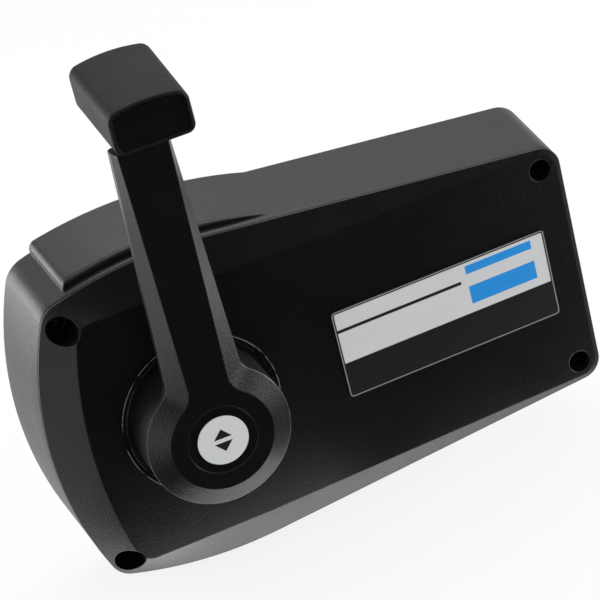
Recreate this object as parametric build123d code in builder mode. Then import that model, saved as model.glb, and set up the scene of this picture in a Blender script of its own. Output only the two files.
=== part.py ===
"""Side-mount boat control lever: throttle and shift in one hand lever.

Frame, in millimetres: the origin is where the lever shaft's axis meets the mounting face.
X runs aft, toward the narrow cable end. Z is up. The case stands out from the wall toward -Y,
so a place is given by its X and Z and by its stand-off, the distance out from the mounting face.
"""
import os
from math import acos, atan2, cos, degrees, hypot, pi, radians, sin, sqrt, tan

from build123d import *

os.makedirs("parts", exist_ok=True)

# Case outline, seen from the front
nose_reach = 63.8           # rounded front end, from the shaft axis
tail_reach = 176.5          # square aft end
nose_corner_x = -50.5
nose_half = 63.5            # half height at the nose corners
shoulder_x = 20.0           # where the hump round the shaft runs into the straight flank
shoulder_half = 71.2
tail_half = 55.0
nose_radius = 11.0
tail_radius = 9.0

# Case depth
case_depth = 46.0           # rear housing, mounting face to parting line
case_wall = 3.0
draft_flare = 2.4           # the housing is wider at the wall by this much on every side
parting_groove = 0.7

# Thickened pads above and below the shaft
pad_front = 42.0            # stand-off of the pads' front faces
pad_nose_x = -39.0
pad_nose_half = 70.5
pad_crest_x = 5.0
pad_crest_half = 75.4
pad_tail_x = 55.0
pad_tail_half = 66.9

# Front cover with its tilted plateau
cover_rim = 1.5
cover_wall = 2.6
cavity_foot = 1.5           # the cover's hollow is drawn from this far behind the parting line
plateau_rise = 9.2          # plateau above the parting line, at the shaft
plateau_tilt = 2.4          # degrees, higher toward the nose
plateau_nose = 48.6
plateau_corner_x = -40.5
plateau_half = 56.6
plateau_tail_inset = 1.7
plateau_tail_half = 53.6
plateau_radius = 8.0
plateau_edge = 1.0

# Label plate and the trim ring round the hub
label_length = 100.0
label_height = 41.3
label_x = 113.2
label_thick = 0.8
label_corner = 1.5
label_gap = 0.15
label_sink = 0.5
ring_outer = 35.1
ring_inner = 32.8
ring_proud = 0.8
ring_sink = 1.0

# Mounting bolts
nose_bolt_x = -45.5
nose_bolt_z = 55.5
nose_bolt_hole = 3.2        # radius for M6
nose_bolt_cup = 6.0
tail_bolt_x = 167.0
tail_bolt_z = 46.7
tail_bolt_hole = 2.7        # radius for M5
tail_bolt_cup = 4.8
cup_wall = 1.8
cup_seat = 39.5             # stand-off of the face that takes the bolt head
sleeve_wall = 1.0
tube_wall = 2.0
rib_thick = 3.0

# Fasteners
screw_radius = 1.95
screw_clearance = 0.15
screw_head = 3.6
screw_head_height = 2.6
boss_radius = 5.0
boss_floor = 3.5
cover_boss_foot = 38.0
cover_boss_radius = 3.2
cover_screw_grip = 6.0
base_boss_radius = 4.5
base_boss_height = 11.0
base_screw_length = 11.0

# Base plate that carries the mechanism
plate_thick = 3.0
plate_gap = 0.35
flush_gap = 0.2

# Shaft
shaft_radius = 7.0
shaft_bore = 3.5
journal_radius = 6.0
shaft_back = 1.0
journal_end = 8.3
running_gap = 0.05
face_gap = 0.3
bush_wall = 3.0
bush_flange = 2.0
bush_lip = 3.0
seal_radius = 11.4
seal_depth = 2.0

# Stack on the shaft, stand-off of each piece's back face and its thickness
crank_at = 9.0
crank_thick = 3.0
gear_at = 21.0
gear_thick = 6.0
dog_room = 3.8              # hollow ring behind the drive gear where the dog pin runs free
detent_at = 30.0
detent_thick = 4.0
drum_at = 35.0
drum_thick = 4.0
cam_at = 40.0
cam_thick = 2.5
front_bush_at = 42.8
spacer_wall = 1.5

# Gears
gear_module = 2.0
drive_teeth = 17
shift_teeth = 28
shift_first = -4            # first and last tooth of the shift sector, from its middle tooth
shift_last = 5
tooth_tip = 1.5
tooth_root = 2.3
tooth_base_share = 0.60     # share of one pitch that a tooth fills at its root
tooth_tip_share = 0.20
shift_bearing = -32.0       # degrees, direction from the shaft to the shift post
post_radius = 4.0
post_collar = 6.5
clip_thick = 0.8
clip_wall = 1.4
pin_end = 0.5

# Shift arm and throttle bell crank
shift_arm_length = 28.0
arm_thick = 3.0
arm_end = 5.5
crank_length = 30.0
crank_hub = 12.0
throttle_post_x = 56.0
throttle_post_z = 20.0
throttle_arm_length = 28.0
arm_hub = 8.0
link_thick = 2.5
link_half = 3.5
pin_radius = 2.5
pin_head = 3.8
pin_head_height = 1.2

# Cable swivels, anchors and ports
swivel_radius = 5.0
swivel_height = 4.9
swivel_pin = 2.5
core_hole = 1.6
clamp_screw = 1.5
clamp_head = 2.4
clamp_head_height = 1.5
anchor_x = 136.0
anchor_length = 16.0
anchor_half = 9.0
jacket_radius = 4.0
cap_thick = 5.5
cap_screw_z = 6.4
cap_screw_grip = 8.0
throttle_port_z = 4.0
shift_port_z = -28.0
port_radius = 4.6
port_collar = 7.4
port_collar_length = 3.0
port_margin = 9.0
port_gap = 0.25
port_flange = 2.0
port_block_top = 42.0

# Detent
detent_radius = 20.0
detent_notch = 3.4
detent_notch_depth = 1.2
detent_step = 30.0          # degrees of lever travel to each gear position
ball_radius = 3.0
sleeve_radius = 4.5
sleeve_back = 48.0
sleeve_mouth_gap = 1.5
plug_length = 4.0
detent_spring_turns = 6
bracket_thick = 3.0
bracket_width = 18.0
bracket_foot = 12.0
detent_bracket_x = -42.5

# Friction brake
drum_radius = 15.0
shoe_thick = 5.0
shoe_gap = 0.3
shoe_half_angle = 34.0
friction_screw_radius = 2.5
friction_bracket_z = 44.0
friction_bracket_width = 14.0
friction_screw_proud = 8.0

# Neutral safety switch
cam_radius = 13.0
cam_lobe = 16.0
lobe_half_angle = 12.0
plunger_radius = 1.2
plunger_length = 3.0
plunger_travel = 1.0
plunger_gap = 0.1
switch_length = 19.8
switch_height = 10.3
switch_depth = 6.4
switch_bracket_x0 = -10.0
switch_bracket_x1 = 5.0
switch_bracket_z = -33.0
switch_screw_pitch = 9.5
switch_screw = 1.1
switch_screw_head = 2.0
terminal_width = 4.8
terminal_thick = 0.5
terminal_length = 5.0

# Lever, hub and blade
hub_front = 83.0            # stand-off of the lever's flat front face
bevel_depth = 4.5
hub_face_radius = 21.9
hub_radius = 30.7
hub_cover_gap = 0.9
hub_wall = 3.0
hub_core_radius = 18.0
hub_roof = 9.0
blade_thick = 10.0
blade_top = 133.0
face_half_low = 7.0
face_half_top = 10.1
blade_half_low = 15.6
blade_half_top = 12.2
face_fillet = 50.0
blade_fillet = 85.0
blade_corner = 1.5
socket_top = 67.0
core_floor = 2.0
stem_gap = 0.1
set_screw_radius = 2.5
set_screw_length = 10.0
set_screw_at = 62.0

# Knob across the top of the blade
knob_x = 5.5
knob_z = 143.0
knob_width = 33.5
knob_height = 20.0
knob_crown = 2.2
knob_front = 86.0
knob_back = 33.0
knob_back_width = 35.0
knob_back_height = 19.0
knob_back_lift = 3.5
knob_corner = 3.8
knob_back_round = 3.0
knob_front_round = 1.2
panel_width = 30.0
panel_height = 16.2
panel_sink = 0.9
panel_thick = 2.0
panel_corner = 2.4
tang_half = 6.0
tang_height = 9.0
tang_floor = 5.5
tang_inset = 1.5
knob_screw_spots = (54.0, 66.0)   # stand-offs
knob_screw_seat = 1.5
tang_back = 46.0

# Warm-up button in the hub
button_radius = 14.6
button_gap = 0.3
button_depth = 8.0
button_wall = 2.0
button_top = 2.5
button_travel = 5.0
badge_radius = 10.8
badge_thick = 0.9
badge_sink = 0.6
stem_radius = 3.4
dog_pin_radius = 1.5
dog_pin_half = 9.0
dog_pin_rest = 24.0
stem_clip_radius = 5.4
spring_wire = 0.6
spring_radius = 8.2
spring_turns = 4
coil_steps = 10             # straight runs that draw one turn of a spring

# Values worked out from the sizes above
flank_slope = (shoulder_half - tail_half) / (tail_reach - shoulder_x)
plateau_slope = tan(radians(plateau_tilt))
plateau_at_shaft = case_depth + plateau_rise
nose_bow_radius = (nose_half**2 + (nose_reach + nose_corner_x)**2) / (2 * (nose_reach + nose_corner_x))
shift_centre = gear_module * (drive_teeth + shift_teeth) / 2
shift_x = shift_centre * cos(radians(shift_bearing))
shift_z = shift_centre * sin(radians(shift_bearing))
shift_arm_at = gear_at + gear_thick
link_at = crank_at + crank_thick + face_gap
throttle_swivel_at = crank_at + crank_thick + face_gap
shift_swivel_at = shift_arm_at + arm_thick + face_gap
throttle_cable_at = throttle_swivel_at + swivel_height / 2
shift_cable_at = shift_swivel_at + swivel_height / 2
hub_back = plateau_at_shaft + plateau_slope * hub_radius + hub_cover_gap
seal_floor = plateau_at_shaft - seal_depth
button_bore = button_radius + button_gap
core_top = socket_top + core_floor
button_back = hub_front - button_depth
front_bush_radius = shaft_radius + bush_wall
rear_bush_radius = journal_radius + bush_wall
tooth_angle_drive = 360 / drive_teeth
tooth_angle_shift = 360 / shift_teeth


def out(stand_off):
    """Drawing plane at a stand-off from the wall, with local x along X and local y along Z."""
    return Plane.XZ.offset(stand_off)


def on_plateau(height=0.0):
    """Drawing plane on the tilted plateau, or parallel to it at a height above it."""
    centre = Vector(0, -plateau_at_shaft, 0)
    normal = Vector(plateau_slope, -1, 0).normalized()
    return Plane(origin=centre + normal * height, x_dir=(1, plateau_slope, 0), z_dir=normal)


def flank_half(x):
    """Half height of the outline at x, along the straight flank."""
    return shoulder_half - (x - shoulder_x) * flank_slope


def nose_x_at(z):
    """X of the bowed nose at height z."""
    return nose_bow_radius - nose_reach - sqrt(nose_bow_radius**2 - z**2)


def inner_wall(stand_off):
    """How far the housing's inner wall lies outside the front outline (negative: inside)."""
    return draft_flare * (1 - stand_off / case_depth) - case_wall


def polar(radius, angle, x=0.0, z=0.0):
    """Point at a radius and an angle in degrees, counter-clockwise from +X, seen from the front."""
    return (x + radius * cos(radians(angle)), z + radius * sin(radians(angle)))


def case_profile(plane, grow=0.0):
    """Outline of the case on a plane, moved outward by grow."""
    with BuildSketch(plane) as profile:
        with BuildLine():
            hump = TangentArc(
                (shoulder_x, shoulder_half), (nose_corner_x, nose_half), tangent=(-1, flank_slope)
            )
            flank = Line((shoulder_x, shoulder_half), (tail_reach, tail_half))
            mirror([hump, flank], about=Plane.XZ)
            Line((tail_reach, tail_half), (tail_reach, -tail_half))
            ThreePointArc((nose_corner_x, nose_half), (-nose_reach, 0), (nose_corner_x, -nose_half))
        make_face()
        fillet(profile.vertices().group_by(Axis.X)[0], nose_radius)
        fillet(profile.vertices().group_by(Axis.X)[-1], tail_radius)
        if grow:
            offset(amount=grow)
    return profile.sketch


def plateau_profile(plane, grow=0.0):
    """Outline of the flat plateau on a plane, moved outward by grow."""
    tail_x = tail_reach - plateau_tail_inset
    with BuildSketch(plane) as profile:
        with BuildLine():
            crest = Line((plateau_corner_x, plateau_half), (shoulder_x, plateau_half))
            edge = Line((shoulder_x, plateau_half), (tail_x, plateau_tail_half))
            mirror([crest, edge], about=Plane.XZ)
            Line((tail_x, plateau_tail_half), (tail_x, -plateau_tail_half))
            ThreePointArc(
                (plateau_corner_x, plateau_half), (-plateau_nose, 0), (plateau_corner_x, -plateau_half)
            )
        make_face()
        fillet(profile.vertices().group_by(Axis.X)[0], plateau_radius)
        fillet(profile.vertices().group_by(Axis.X)[-1], plateau_radius)
        if grow:
            offset(amount=grow)
    return profile.sketch


def pad_profile(plane, grow=0.0):
    """Arched pad above the shaft, closed inside the case outline."""
    with BuildSketch(plane) as profile:
        with BuildLine():
            arch = ThreePointArc(
                (pad_nose_x - grow, pad_nose_half + grow),
                (pad_crest_x, pad_crest_half + grow),
                (pad_tail_x + grow, pad_tail_half + grow),
            )
            Line(arch @ 1, (pad_tail_x + grow, 0))
            Line((pad_tail_x + grow, 0), (pad_nose_x - grow, 0))
            Line((pad_nose_x - grow, 0), arch @ 0)
        make_face()
    return profile.sketch


def rods(radius, start, end, spots=((0, 0),), mode=Mode.ADD):
    """Round rods or holes square to the wall, from one stand-off to another."""
    with BuildSketch(out(start)) as section:
        with Locations(*spots):
            Circle(radius)
    extrude(section.sketch, amount=end - start, mode=mode)


def tooth_points(teeth, numbers, phase, centre=(0, 0)):
    """Corner points of straight-flanked gear teeth, in order round the rim."""
    pitch_radius = gear_module * teeth / 2
    pitch = 360 / teeth
    points = []
    for number in numbers:
        middle = phase + number * pitch
        points.append(polar(pitch_radius - tooth_root, middle - tooth_base_share * pitch / 2, *centre))
        points.append(polar(pitch_radius + tooth_tip, middle - tooth_tip_share * pitch / 2, *centre))
        points.append(polar(pitch_radius + tooth_tip, middle + tooth_tip_share * pitch / 2, *centre))
        points.append(polar(pitch_radius - tooth_root, middle + tooth_base_share * pitch / 2, *centre))
    return points


def arm_profile(plane, spots, hub, end):
    """Flat lever: a hub circle tapering to one rounded end for each further spot."""
    with BuildSketch(plane) as profile:
        for spot in spots[1:]:
            with BuildSketch(mode=Mode.PRIVATE) as blade:
                with Locations(spots[0]):
                    Circle(hub)
                with Locations(spot):
                    Circle(end)
                make_hull()
            add(blade.sketch)
    return profile.sketch


# Places of the repeated fasteners
nose_bolts = [(nose_bolt_x, nose_bolt_z), (nose_bolt_x, -nose_bolt_z)]
tail_bolts = [(tail_bolt_x, tail_bolt_z), (tail_bolt_x, -tail_bolt_z)]
mid_boss_x = 88.0
tail_boss_z = 25.0
boss_inset = boss_radius - inner_wall(cover_boss_foot / 2)
mid_boss_z = flank_half(mid_boss_x) - boss_inset
cover_bosses = [
    (boss_inset - nose_reach, 0),
    (mid_boss_x, mid_boss_z),
    (mid_boss_x, -mid_boss_z),
    (tail_reach - boss_inset, tail_boss_z),
]
base_inset = base_boss_radius - inner_wall(plate_thick + base_boss_height) - 0.3
base_nose_z = 30.0
base_mid_x = 60.0
base_tail_x = 140.0
base_bosses = [
    (nose_x_at(base_nose_z) + base_inset, side * base_nose_z) for side in (1, -1)
] + [
    (x, side * (flank_half(x) - base_inset)) for x in (base_mid_x, base_tail_x) for side in (1, -1)
]
crank_pin_spot = (0, crank_length)
throttle_post = (throttle_post_x, throttle_post_z)
throttle_link_spot = (throttle_post_x, throttle_post_z + crank_length)
throttle_swivel_spot = (throttle_post_x, throttle_post_z - throttle_arm_length)
shift_post = (shift_x, shift_z)
shift_swivel_spot = (shift_x, shift_z - shift_arm_length)
port_z0 = shift_port_z - port_margin
port_z1 = throttle_port_z + port_margin

# Rear housing: drafted shell, open front and back, with pads, bolt tubes and screw bosses
with BuildPart() as pad:
    loft([pad_profile(out(0), draft_flare), pad_profile(out(pad_front))], ruled=True)

with BuildPart() as housing_block:
    loft([case_profile(out(0), draft_flare), case_profile(out(case_depth))], ruled=True)
    add(pad.part)
    mirror(pad.part, about=Plane.XY)
    chamfer(housing_block.faces().sort_by(Axis.Y)[0].outer_wire().edges(), parting_groove)

with BuildPart() as housing_shell:
    add(housing_block.part)
    loft(
        [case_profile(out(end), inner_wall(end)) for end in (-1, case_depth + 1)],
        ruled=True,
        mode=Mode.SUBTRACT,
    )

with BuildPart() as housing_frame:
    rods(nose_bolt_cup + tube_wall, 0, case_depth, nose_bolts)
    rods(tail_bolt_cup + tube_wall, 0, case_depth, tail_bolts)
    rods(boss_radius, plate_thick, cover_boss_foot, cover_bosses)
    rods(base_boss_radius, plate_thick, plate_thick + base_boss_height, base_bosses)
    with BuildSketch(out(plate_thick)):
        for x, z in tail_bolts:
            side = 1 if z > 0 else -1
            with Locations((x, side * (tail_bolt_z + nose_half / 2))):
                Rectangle(rib_thick, nose_half)
    extrude(amount=case_depth - plate_thick)
    add(housing_block.part, mode=Mode.INTERSECT)

with BuildPart() as rear_housing:
    add(housing_shell.part)
    add(housing_frame.part)
    rods(nose_bolt_hole + sleeve_wall, 0, cup_seat, nose_bolts, Mode.SUBTRACT)
    rods(tail_bolt_hole + sleeve_wall, 0, cup_seat, tail_bolts, Mode.SUBTRACT)
    rods(nose_bolt_cup, cup_seat, case_depth, nose_bolts, Mode.SUBTRACT)
    rods(tail_bolt_cup, cup_seat, case_depth, tail_bolts, Mode.SUBTRACT)
    rods(screw_head + screw_clearance, 0, cover_boss_foot - boss_floor, cover_bosses, Mode.SUBTRACT)
    rods(screw_radius + screw_clearance, 0, cover_boss_foot, cover_bosses, Mode.SUBTRACT)
    rods(screw_radius, 0, plate_thick + base_screw_length, base_bosses, Mode.SUBTRACT)
    with BuildSketch(out(0)):
        with Locations((tail_reach, (port_z0 + port_z1) / 2)):
            Rectangle(4 * case_wall, port_z1 - port_z0)
    extrude(amount=port_block_top, mode=Mode.SUBTRACT)
rear_housing.part.label = "rear_housing"
export_step(rear_housing.part, "parts/rear_housing.step")

# Steel compression sleeves that take the load of the mounting bolts
with BuildPart() as bolt_sleeves:
    rods(nose_bolt_hole + sleeve_wall, 0, cup_seat, nose_bolts)
    rods(tail_bolt_hole + sleeve_wall, 0, cup_seat, tail_bolts)
    rods(nose_bolt_hole, 0, cup_seat, nose_bolts, Mode.SUBTRACT)
    rods(tail_bolt_hole, 0, cup_seat, tail_bolts, Mode.SUBTRACT)
bolt_sleeves.part.label = "bolt_sleeves"
export_step(bolt_sleeves.part, "parts/bolt_sleeves.step")

# Cable port block: fills the notch in the tail wall, with a collared port for each cable
with BuildPart() as port_block:
    add(housing_shell.part)
    with BuildSketch(out(0)):
        with Locations((tail_reach, (port_z0 + port_z1) / 2)):
            Rectangle(4 * case_wall, port_z1 - port_z0 - 2 * port_gap)
    extrude(amount=port_block_top - port_gap, mode=Mode.INTERSECT)
    flange_x = tail_reach - case_wall - port_flange
    with BuildSketch(out(plate_thick + port_gap)):
        with Locations((flange_x + port_flange / 2, (port_z0 + port_z1) / 2)):
            Rectangle(port_flange, port_z1 - port_z0 + 2 * port_flange)
    extrude(amount=port_block_top - plate_thick)
    ports = [(-throttle_cable_at, throttle_port_z), (-shift_cable_at, shift_port_z)]
    with BuildSketch(Plane.YZ.offset(flange_x)):
        with Locations(*ports):
            Circle(port_collar)
    extrude(amount=port_flange + case_wall + draft_flare + port_collar_length)
    with BuildSketch(Plane.YZ.offset(flange_x)):
        with Locations(*ports):
            Circle(port_radius)
    extrude(amount=port_flange + case_wall + draft_flare + 2 * port_collar_length, mode=Mode.SUBTRACT)
port_block.part.label = "port_block"
export_step(port_block.part, "parts/port_block.step")

# Front cover: bevelled sides rise to the tilted plateau
with BuildPart() as cover_block:
    extrude(case_profile(out(case_depth)), amount=cover_rim)
    loft([case_profile(out(case_depth + cover_rim)), plateau_profile(on_plateau())], ruled=True)
    fillet(cover_block.faces().sort_by(Axis.Y)[0].outer_wire().edges(), plateau_edge)
    chamfer(cover_block.faces().sort_by(Axis.Y)[-1].outer_wire().edges(), parting_groove)

with BuildPart() as cover_cavity:
    cavity_roof = plateau_profile(on_plateau(-cover_wall), -cover_wall)
    loft([case_profile(out(case_depth - cavity_foot), -cover_wall), cavity_roof], ruled=True)
    reach = plateau_at_shaft + nose_reach
    rods(nose_bolt_cup + cup_wall, 0, reach, nose_bolts, Mode.SUBTRACT)
    rods(tail_bolt_cup + cup_wall, 0, reach, tail_bolts, Mode.SUBTRACT)
    rods(cover_boss_radius, 0, reach, cover_bosses, Mode.SUBTRACT)
    rods(front_bush_radius + bush_lip + 1, 0, reach, mode=Mode.SUBTRACT)

with BuildPart() as front_cover:
    add(cover_block.part)
    add(cover_cavity.part, mode=Mode.SUBTRACT)
    rods(cover_boss_radius, cover_boss_foot, case_depth, cover_bosses)
    rods(front_bush_radius + bush_lip + 1, front_bush_at + bush_flange, case_depth)
    rods(nose_bolt_cup, case_depth, reach, nose_bolts, Mode.SUBTRACT)
    rods(tail_bolt_cup, case_depth, reach, tail_bolts, Mode.SUBTRACT)
    rods(screw_radius, cover_boss_foot, case_depth, cover_bosses, Mode.SUBTRACT)
    rods(front_bush_radius, front_bush_at, reach, mode=Mode.SUBTRACT)
    rods(seal_radius, seal_floor, reach, mode=Mode.SUBTRACT)
    with BuildSketch(on_plateau(-label_sink)):
        with Locations((label_x, 0)):
            Rectangle(label_length + 2 * label_gap, label_height + 2 * label_gap)
    extrude(amount=cover_wall, mode=Mode.SUBTRACT)
    with BuildSketch(on_plateau(-ring_sink)):
        Circle(ring_outer)
        Circle(ring_inner, mode=Mode.SUBTRACT)
    extrude(amount=cover_wall, mode=Mode.SUBTRACT)
front_cover.part.label = "front_cover"
export_step(front_cover.part, "parts/front_cover.step")

# Label plate, bonded into its shallow recess
with BuildPart() as label_plate:
    with BuildSketch(on_plateau(-label_sink)):
        with Locations((label_x, 0)):
            RectangleRounded(label_length, label_height, label_corner)
    extrude(amount=label_thick)
label_plate.part.label = "label_plate"
export_step(label_plate.part, "parts/label_plate.step")

# Trim ring pressed into the plateau round the hub
with BuildPart() as trim_ring:
    with BuildSketch(on_plateau(-ring_sink)):
        Circle(ring_outer)
        Circle(ring_inner, mode=Mode.SUBTRACT)
    extrude(amount=ring_sink + ring_proud)
trim_ring.part.label = "trim_ring"
export_step(trim_ring.part, "parts/trim_ring.step")

# Screws from behind into the cover's bosses
with BuildPart() as cover_screws:
    head_at = cover_boss_foot - boss_floor - screw_head_height
    rods(screw_head, head_at, head_at + screw_head_height, cover_bosses)
    rods(screw_radius, head_at, cover_boss_foot + cover_screw_grip, cover_bosses)
cover_screws.part.label = "cover_screws"
export_step(cover_screws.part, "parts/cover_screws.step")

# Base plate: carries the posts, brackets, anchors and the rear bush
base_flat = Plane(origin=(0, 0, 0), x_dir=(1, 0, 0), z_dir=(0, 1, 0))
with BuildPart() as base_plate:
    extrude(case_profile(out(0), inner_wall(plate_thick) - plate_gap), amount=plate_thick)
    rods(nose_bolt_cup + tube_wall + plate_gap, 0, plate_thick, nose_bolts, Mode.SUBTRACT)
    tail_cut = tail_bolt_cup + tube_wall + plate_gap
    with BuildSketch(out(0)):
        for side in (1, -1):
            with Locations((tail_bolt_x - tail_cut, side * (tail_bolt_z - tail_cut))):
                Rectangle(
                    tail_reach, tail_half, align=(Align.MIN, Align.MIN if side > 0 else Align.MAX)
                )
        with Locations((flange_x - port_gap, (port_z0 + port_z1) / 2)):
            Rectangle(tail_reach, port_z1 - port_z0 + port_gap, align=(Align.MIN, Align.CENTER))
    extrude(amount=plate_thick, mode=Mode.SUBTRACT)
    rods(rear_bush_radius, 0, plate_thick, mode=Mode.SUBTRACT)
    rods(post_radius, 0, plate_thick, [shift_post, throttle_post], Mode.SUBTRACT)
    with Locations(*[base_flat.location * Pos(x, -z, 0) for x, z in base_bosses]):
        CounterSinkHole(screw_radius + screw_clearance, 2 * screw_radius + screw_clearance)
base_plate.part.label = "base_plate"
export_step(base_plate.part, "parts/base_plate.step")

# Countersunk screws that hold the base plate
with BuildPart() as base_screw:
    with BuildSketch(Plane.XZ) as screw_half:
        with BuildLine():
            Polyline(
                (0, flush_gap),
                (2 * screw_radius - flush_gap, flush_gap),
                (screw_radius, screw_radius),
                (screw_radius, base_screw_length),
                (0, base_screw_length),
                close=True,
            )
        make_face()
    revolve(axis=Axis.Z)

with BuildPart() as base_screws:
    with Locations(*[out(0).location * Pos(x, z, 0) for x, z in base_bosses]):
        add(base_screw.part)
base_screws.part.label = "base_screws"
export_step(base_screws.part, "parts/base_screws.step")

# Bush that carries the shaft in the front cover, and the seal in front of it
with BuildPart() as front_bushing:
    rods(front_bush_radius + bush_lip, front_bush_at, front_bush_at + bush_flange)
    rods(front_bush_radius, front_bush_at, seal_floor)
    rods(shaft_radius + running_gap, front_bush_at, seal_floor, mode=Mode.SUBTRACT)
front_bushing.part.label = "front_bushing"
export_step(front_bushing.part, "parts/front_bushing.step")

with BuildPart() as shaft_seal:
    seal_top = plateau_at_shaft - seal_radius * plateau_slope - flush_gap
    rods(seal_radius, seal_floor, seal_top)
    rods(shaft_radius + running_gap, seal_floor, seal_top, mode=Mode.SUBTRACT)
shaft_seal.part.label = "shaft_seal"
export_step(shaft_seal.part, "parts/shaft_seal.step")

with BuildPart() as rear_bushing:
    rods(rear_bush_radius, flush_gap, journal_end - face_gap)
    rods(rear_bush_radius + bush_lip, plate_thick, plate_thick + bush_flange)
    rods(journal_radius + running_gap, 0, journal_end, mode=Mode.SUBTRACT)
rear_bushing.part.label = "rear_bushing"
export_step(rear_bushing.part, "parts/rear_bushing.step")


def post(spot, seat, end):
    """Shouldered post in the base plate with a retaining ring near its end."""
    rods(post_radius, 0, end + face_gap + clip_thick + pin_end, [spot])
    rods(post_collar, plate_thick, seat - face_gap, [spot])
    rods(post_radius + clip_wall, end + face_gap, end + face_gap + clip_thick, [spot])


with BuildPart() as pivot_posts:
    post(shift_post, gear_at, shift_arm_at + arm_thick)
    post(throttle_post, crank_at, crank_at + arm_thick)
pivot_posts.part.label = "pivot_posts"
export_step(pivot_posts.part, "parts/pivot_posts.step")

# Shaft with a cross slot for the dog pin and a counterbore for the stem's retaining ring
with BuildPart() as main_shaft:
    rods(journal_radius, shaft_back, journal_end)
    rods(shaft_radius, journal_end, socket_top)
    rods(shaft_bore, 0, socket_top, mode=Mode.SUBTRACT)
    rods(
        stem_clip_radius + running_gap * 8,
        socket_top - button_travel - clip_thick - 4 * face_gap,
        socket_top,
        mode=Mode.SUBTRACT,
    )
    with BuildSketch(Plane.XZ.offset(gear_at - dog_room)):
        Rectangle(4 * shaft_radius, 2 * (dog_pin_radius + stem_gap))
    extrude(amount=dog_room + dog_pin_rest + dog_pin_radius + stem_gap - gear_at, mode=Mode.SUBTRACT)
main_shaft.part.label = "main_shaft"
export_step(main_shaft.part, "parts/main_shaft.step")

with BuildPart() as shaft_spacers:
    for start, end in [
        (crank_at + crank_thick, gear_at - dog_room),
        (gear_at + gear_thick, detent_at),
        (detent_at + detent_thick, drum_at),
        (drum_at + drum_thick, cam_at),
    ]:
        rods(shaft_radius + spacer_wall, start, end)
        rods(shaft_radius, start, end, mode=Mode.SUBTRACT)
shaft_spacers.part.label = "shaft_spacers"
export_step(shaft_spacers.part, "parts/shaft_spacers.step")

with BuildPart() as throttle_crank:
    extrude(arm_profile(out(crank_at), [(0, 0), crank_pin_spot], crank_hub, arm_end), amount=crank_thick)
    rods(shaft_radius, crank_at, crank_at + crank_thick, mode=Mode.SUBTRACT)
    rods(pin_radius, crank_at, crank_at + crank_thick, [crank_pin_spot], Mode.SUBTRACT)
throttle_crank.part.label = "throttle_crank"
export_step(throttle_crank.part, "parts/throttle_crank.step")


def link_pin(spot):
    """Headed pin through an arm and the link in front of it."""
    rods(pin_radius, crank_at, link_at + link_thick + face_gap, [spot])
    head = link_at + link_thick + face_gap
    rods(pin_head, head, head + pin_head_height, [spot])


with BuildPart() as crank_pin:
    link_pin(crank_pin_spot)
crank_pin.part.label = "crank_pin"
export_step(crank_pin.part, "parts/crank_pin.step")

# Drive gear: a key slot takes the dog pin, a hollow ring behind lets it run free
with BuildPart() as drive_gear:
    with BuildSketch(out(gear_at)):
        with BuildLine():
            Polyline(*tooth_points(drive_teeth, range(drive_teeth), shift_bearing), close=True)
        make_face()
    extrude(amount=gear_thick)
    rods(crank_hub, gear_at - dog_room, gear_at)
    dog_reach = dog_pin_half + face_gap
    rods(dog_reach, gear_at - dog_room, gear_at, mode=Mode.SUBTRACT)
    rods(shaft_radius, gear_at, gear_at + gear_thick, mode=Mode.SUBTRACT)
    with BuildSketch(out(gear_at)):
        Rectangle(2 * dog_reach, 2 * (dog_pin_radius + stem_gap))
    extrude(amount=dog_pin_rest + dog_pin_radius + stem_gap - gear_at, mode=Mode.SUBTRACT)
drive_gear.part.label = "drive_gear"
export_step(drive_gear.part, "parts/drive_gear.step")

with BuildPart() as detent_disc:
    rods(detent_radius, detent_at, detent_at + detent_thick)
    rods(shaft_radius, detent_at, detent_at + detent_thick, mode=Mode.SUBTRACT)
    notch_reach = detent_radius + detent_notch - detent_notch_depth
    notches = [polar(notch_reach, 180 + step * detent_step) for step in (-1, 0, 1)]
    rods(detent_notch, detent_at, detent_at + detent_thick, notches, Mode.SUBTRACT)
detent_disc.part.label = "detent_disc"
export_step(detent_disc.part, "parts/detent_disc.step")

with BuildPart() as friction_drum:
    rods(drum_radius, drum_at, drum_at + drum_thick)
    rods(shaft_radius, drum_at, drum_at + drum_thick, mode=Mode.SUBTRACT)
friction_drum.part.label = "friction_drum"
export_step(friction_drum.part, "parts/friction_drum.step")

# Cam whose lobe holds the neutral switch in with the lever upright
with BuildPart() as switch_cam:
    with BuildSketch(out(cam_at)) as cam_shape:
        Circle(cam_radius)
        with BuildLine():
            Polyline(
                (0, 0),
                polar(cam_lobe, 270 - lobe_half_angle),
                polar(cam_lobe, 270 + lobe_half_angle),
                close=True,
            )
        make_face()
        Circle(shaft_radius, mode=Mode.SUBTRACT)
    extrude(amount=cam_thick)
switch_cam.part.label = "switch_cam"
export_step(switch_cam.part, "parts/switch_cam.step")


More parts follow.
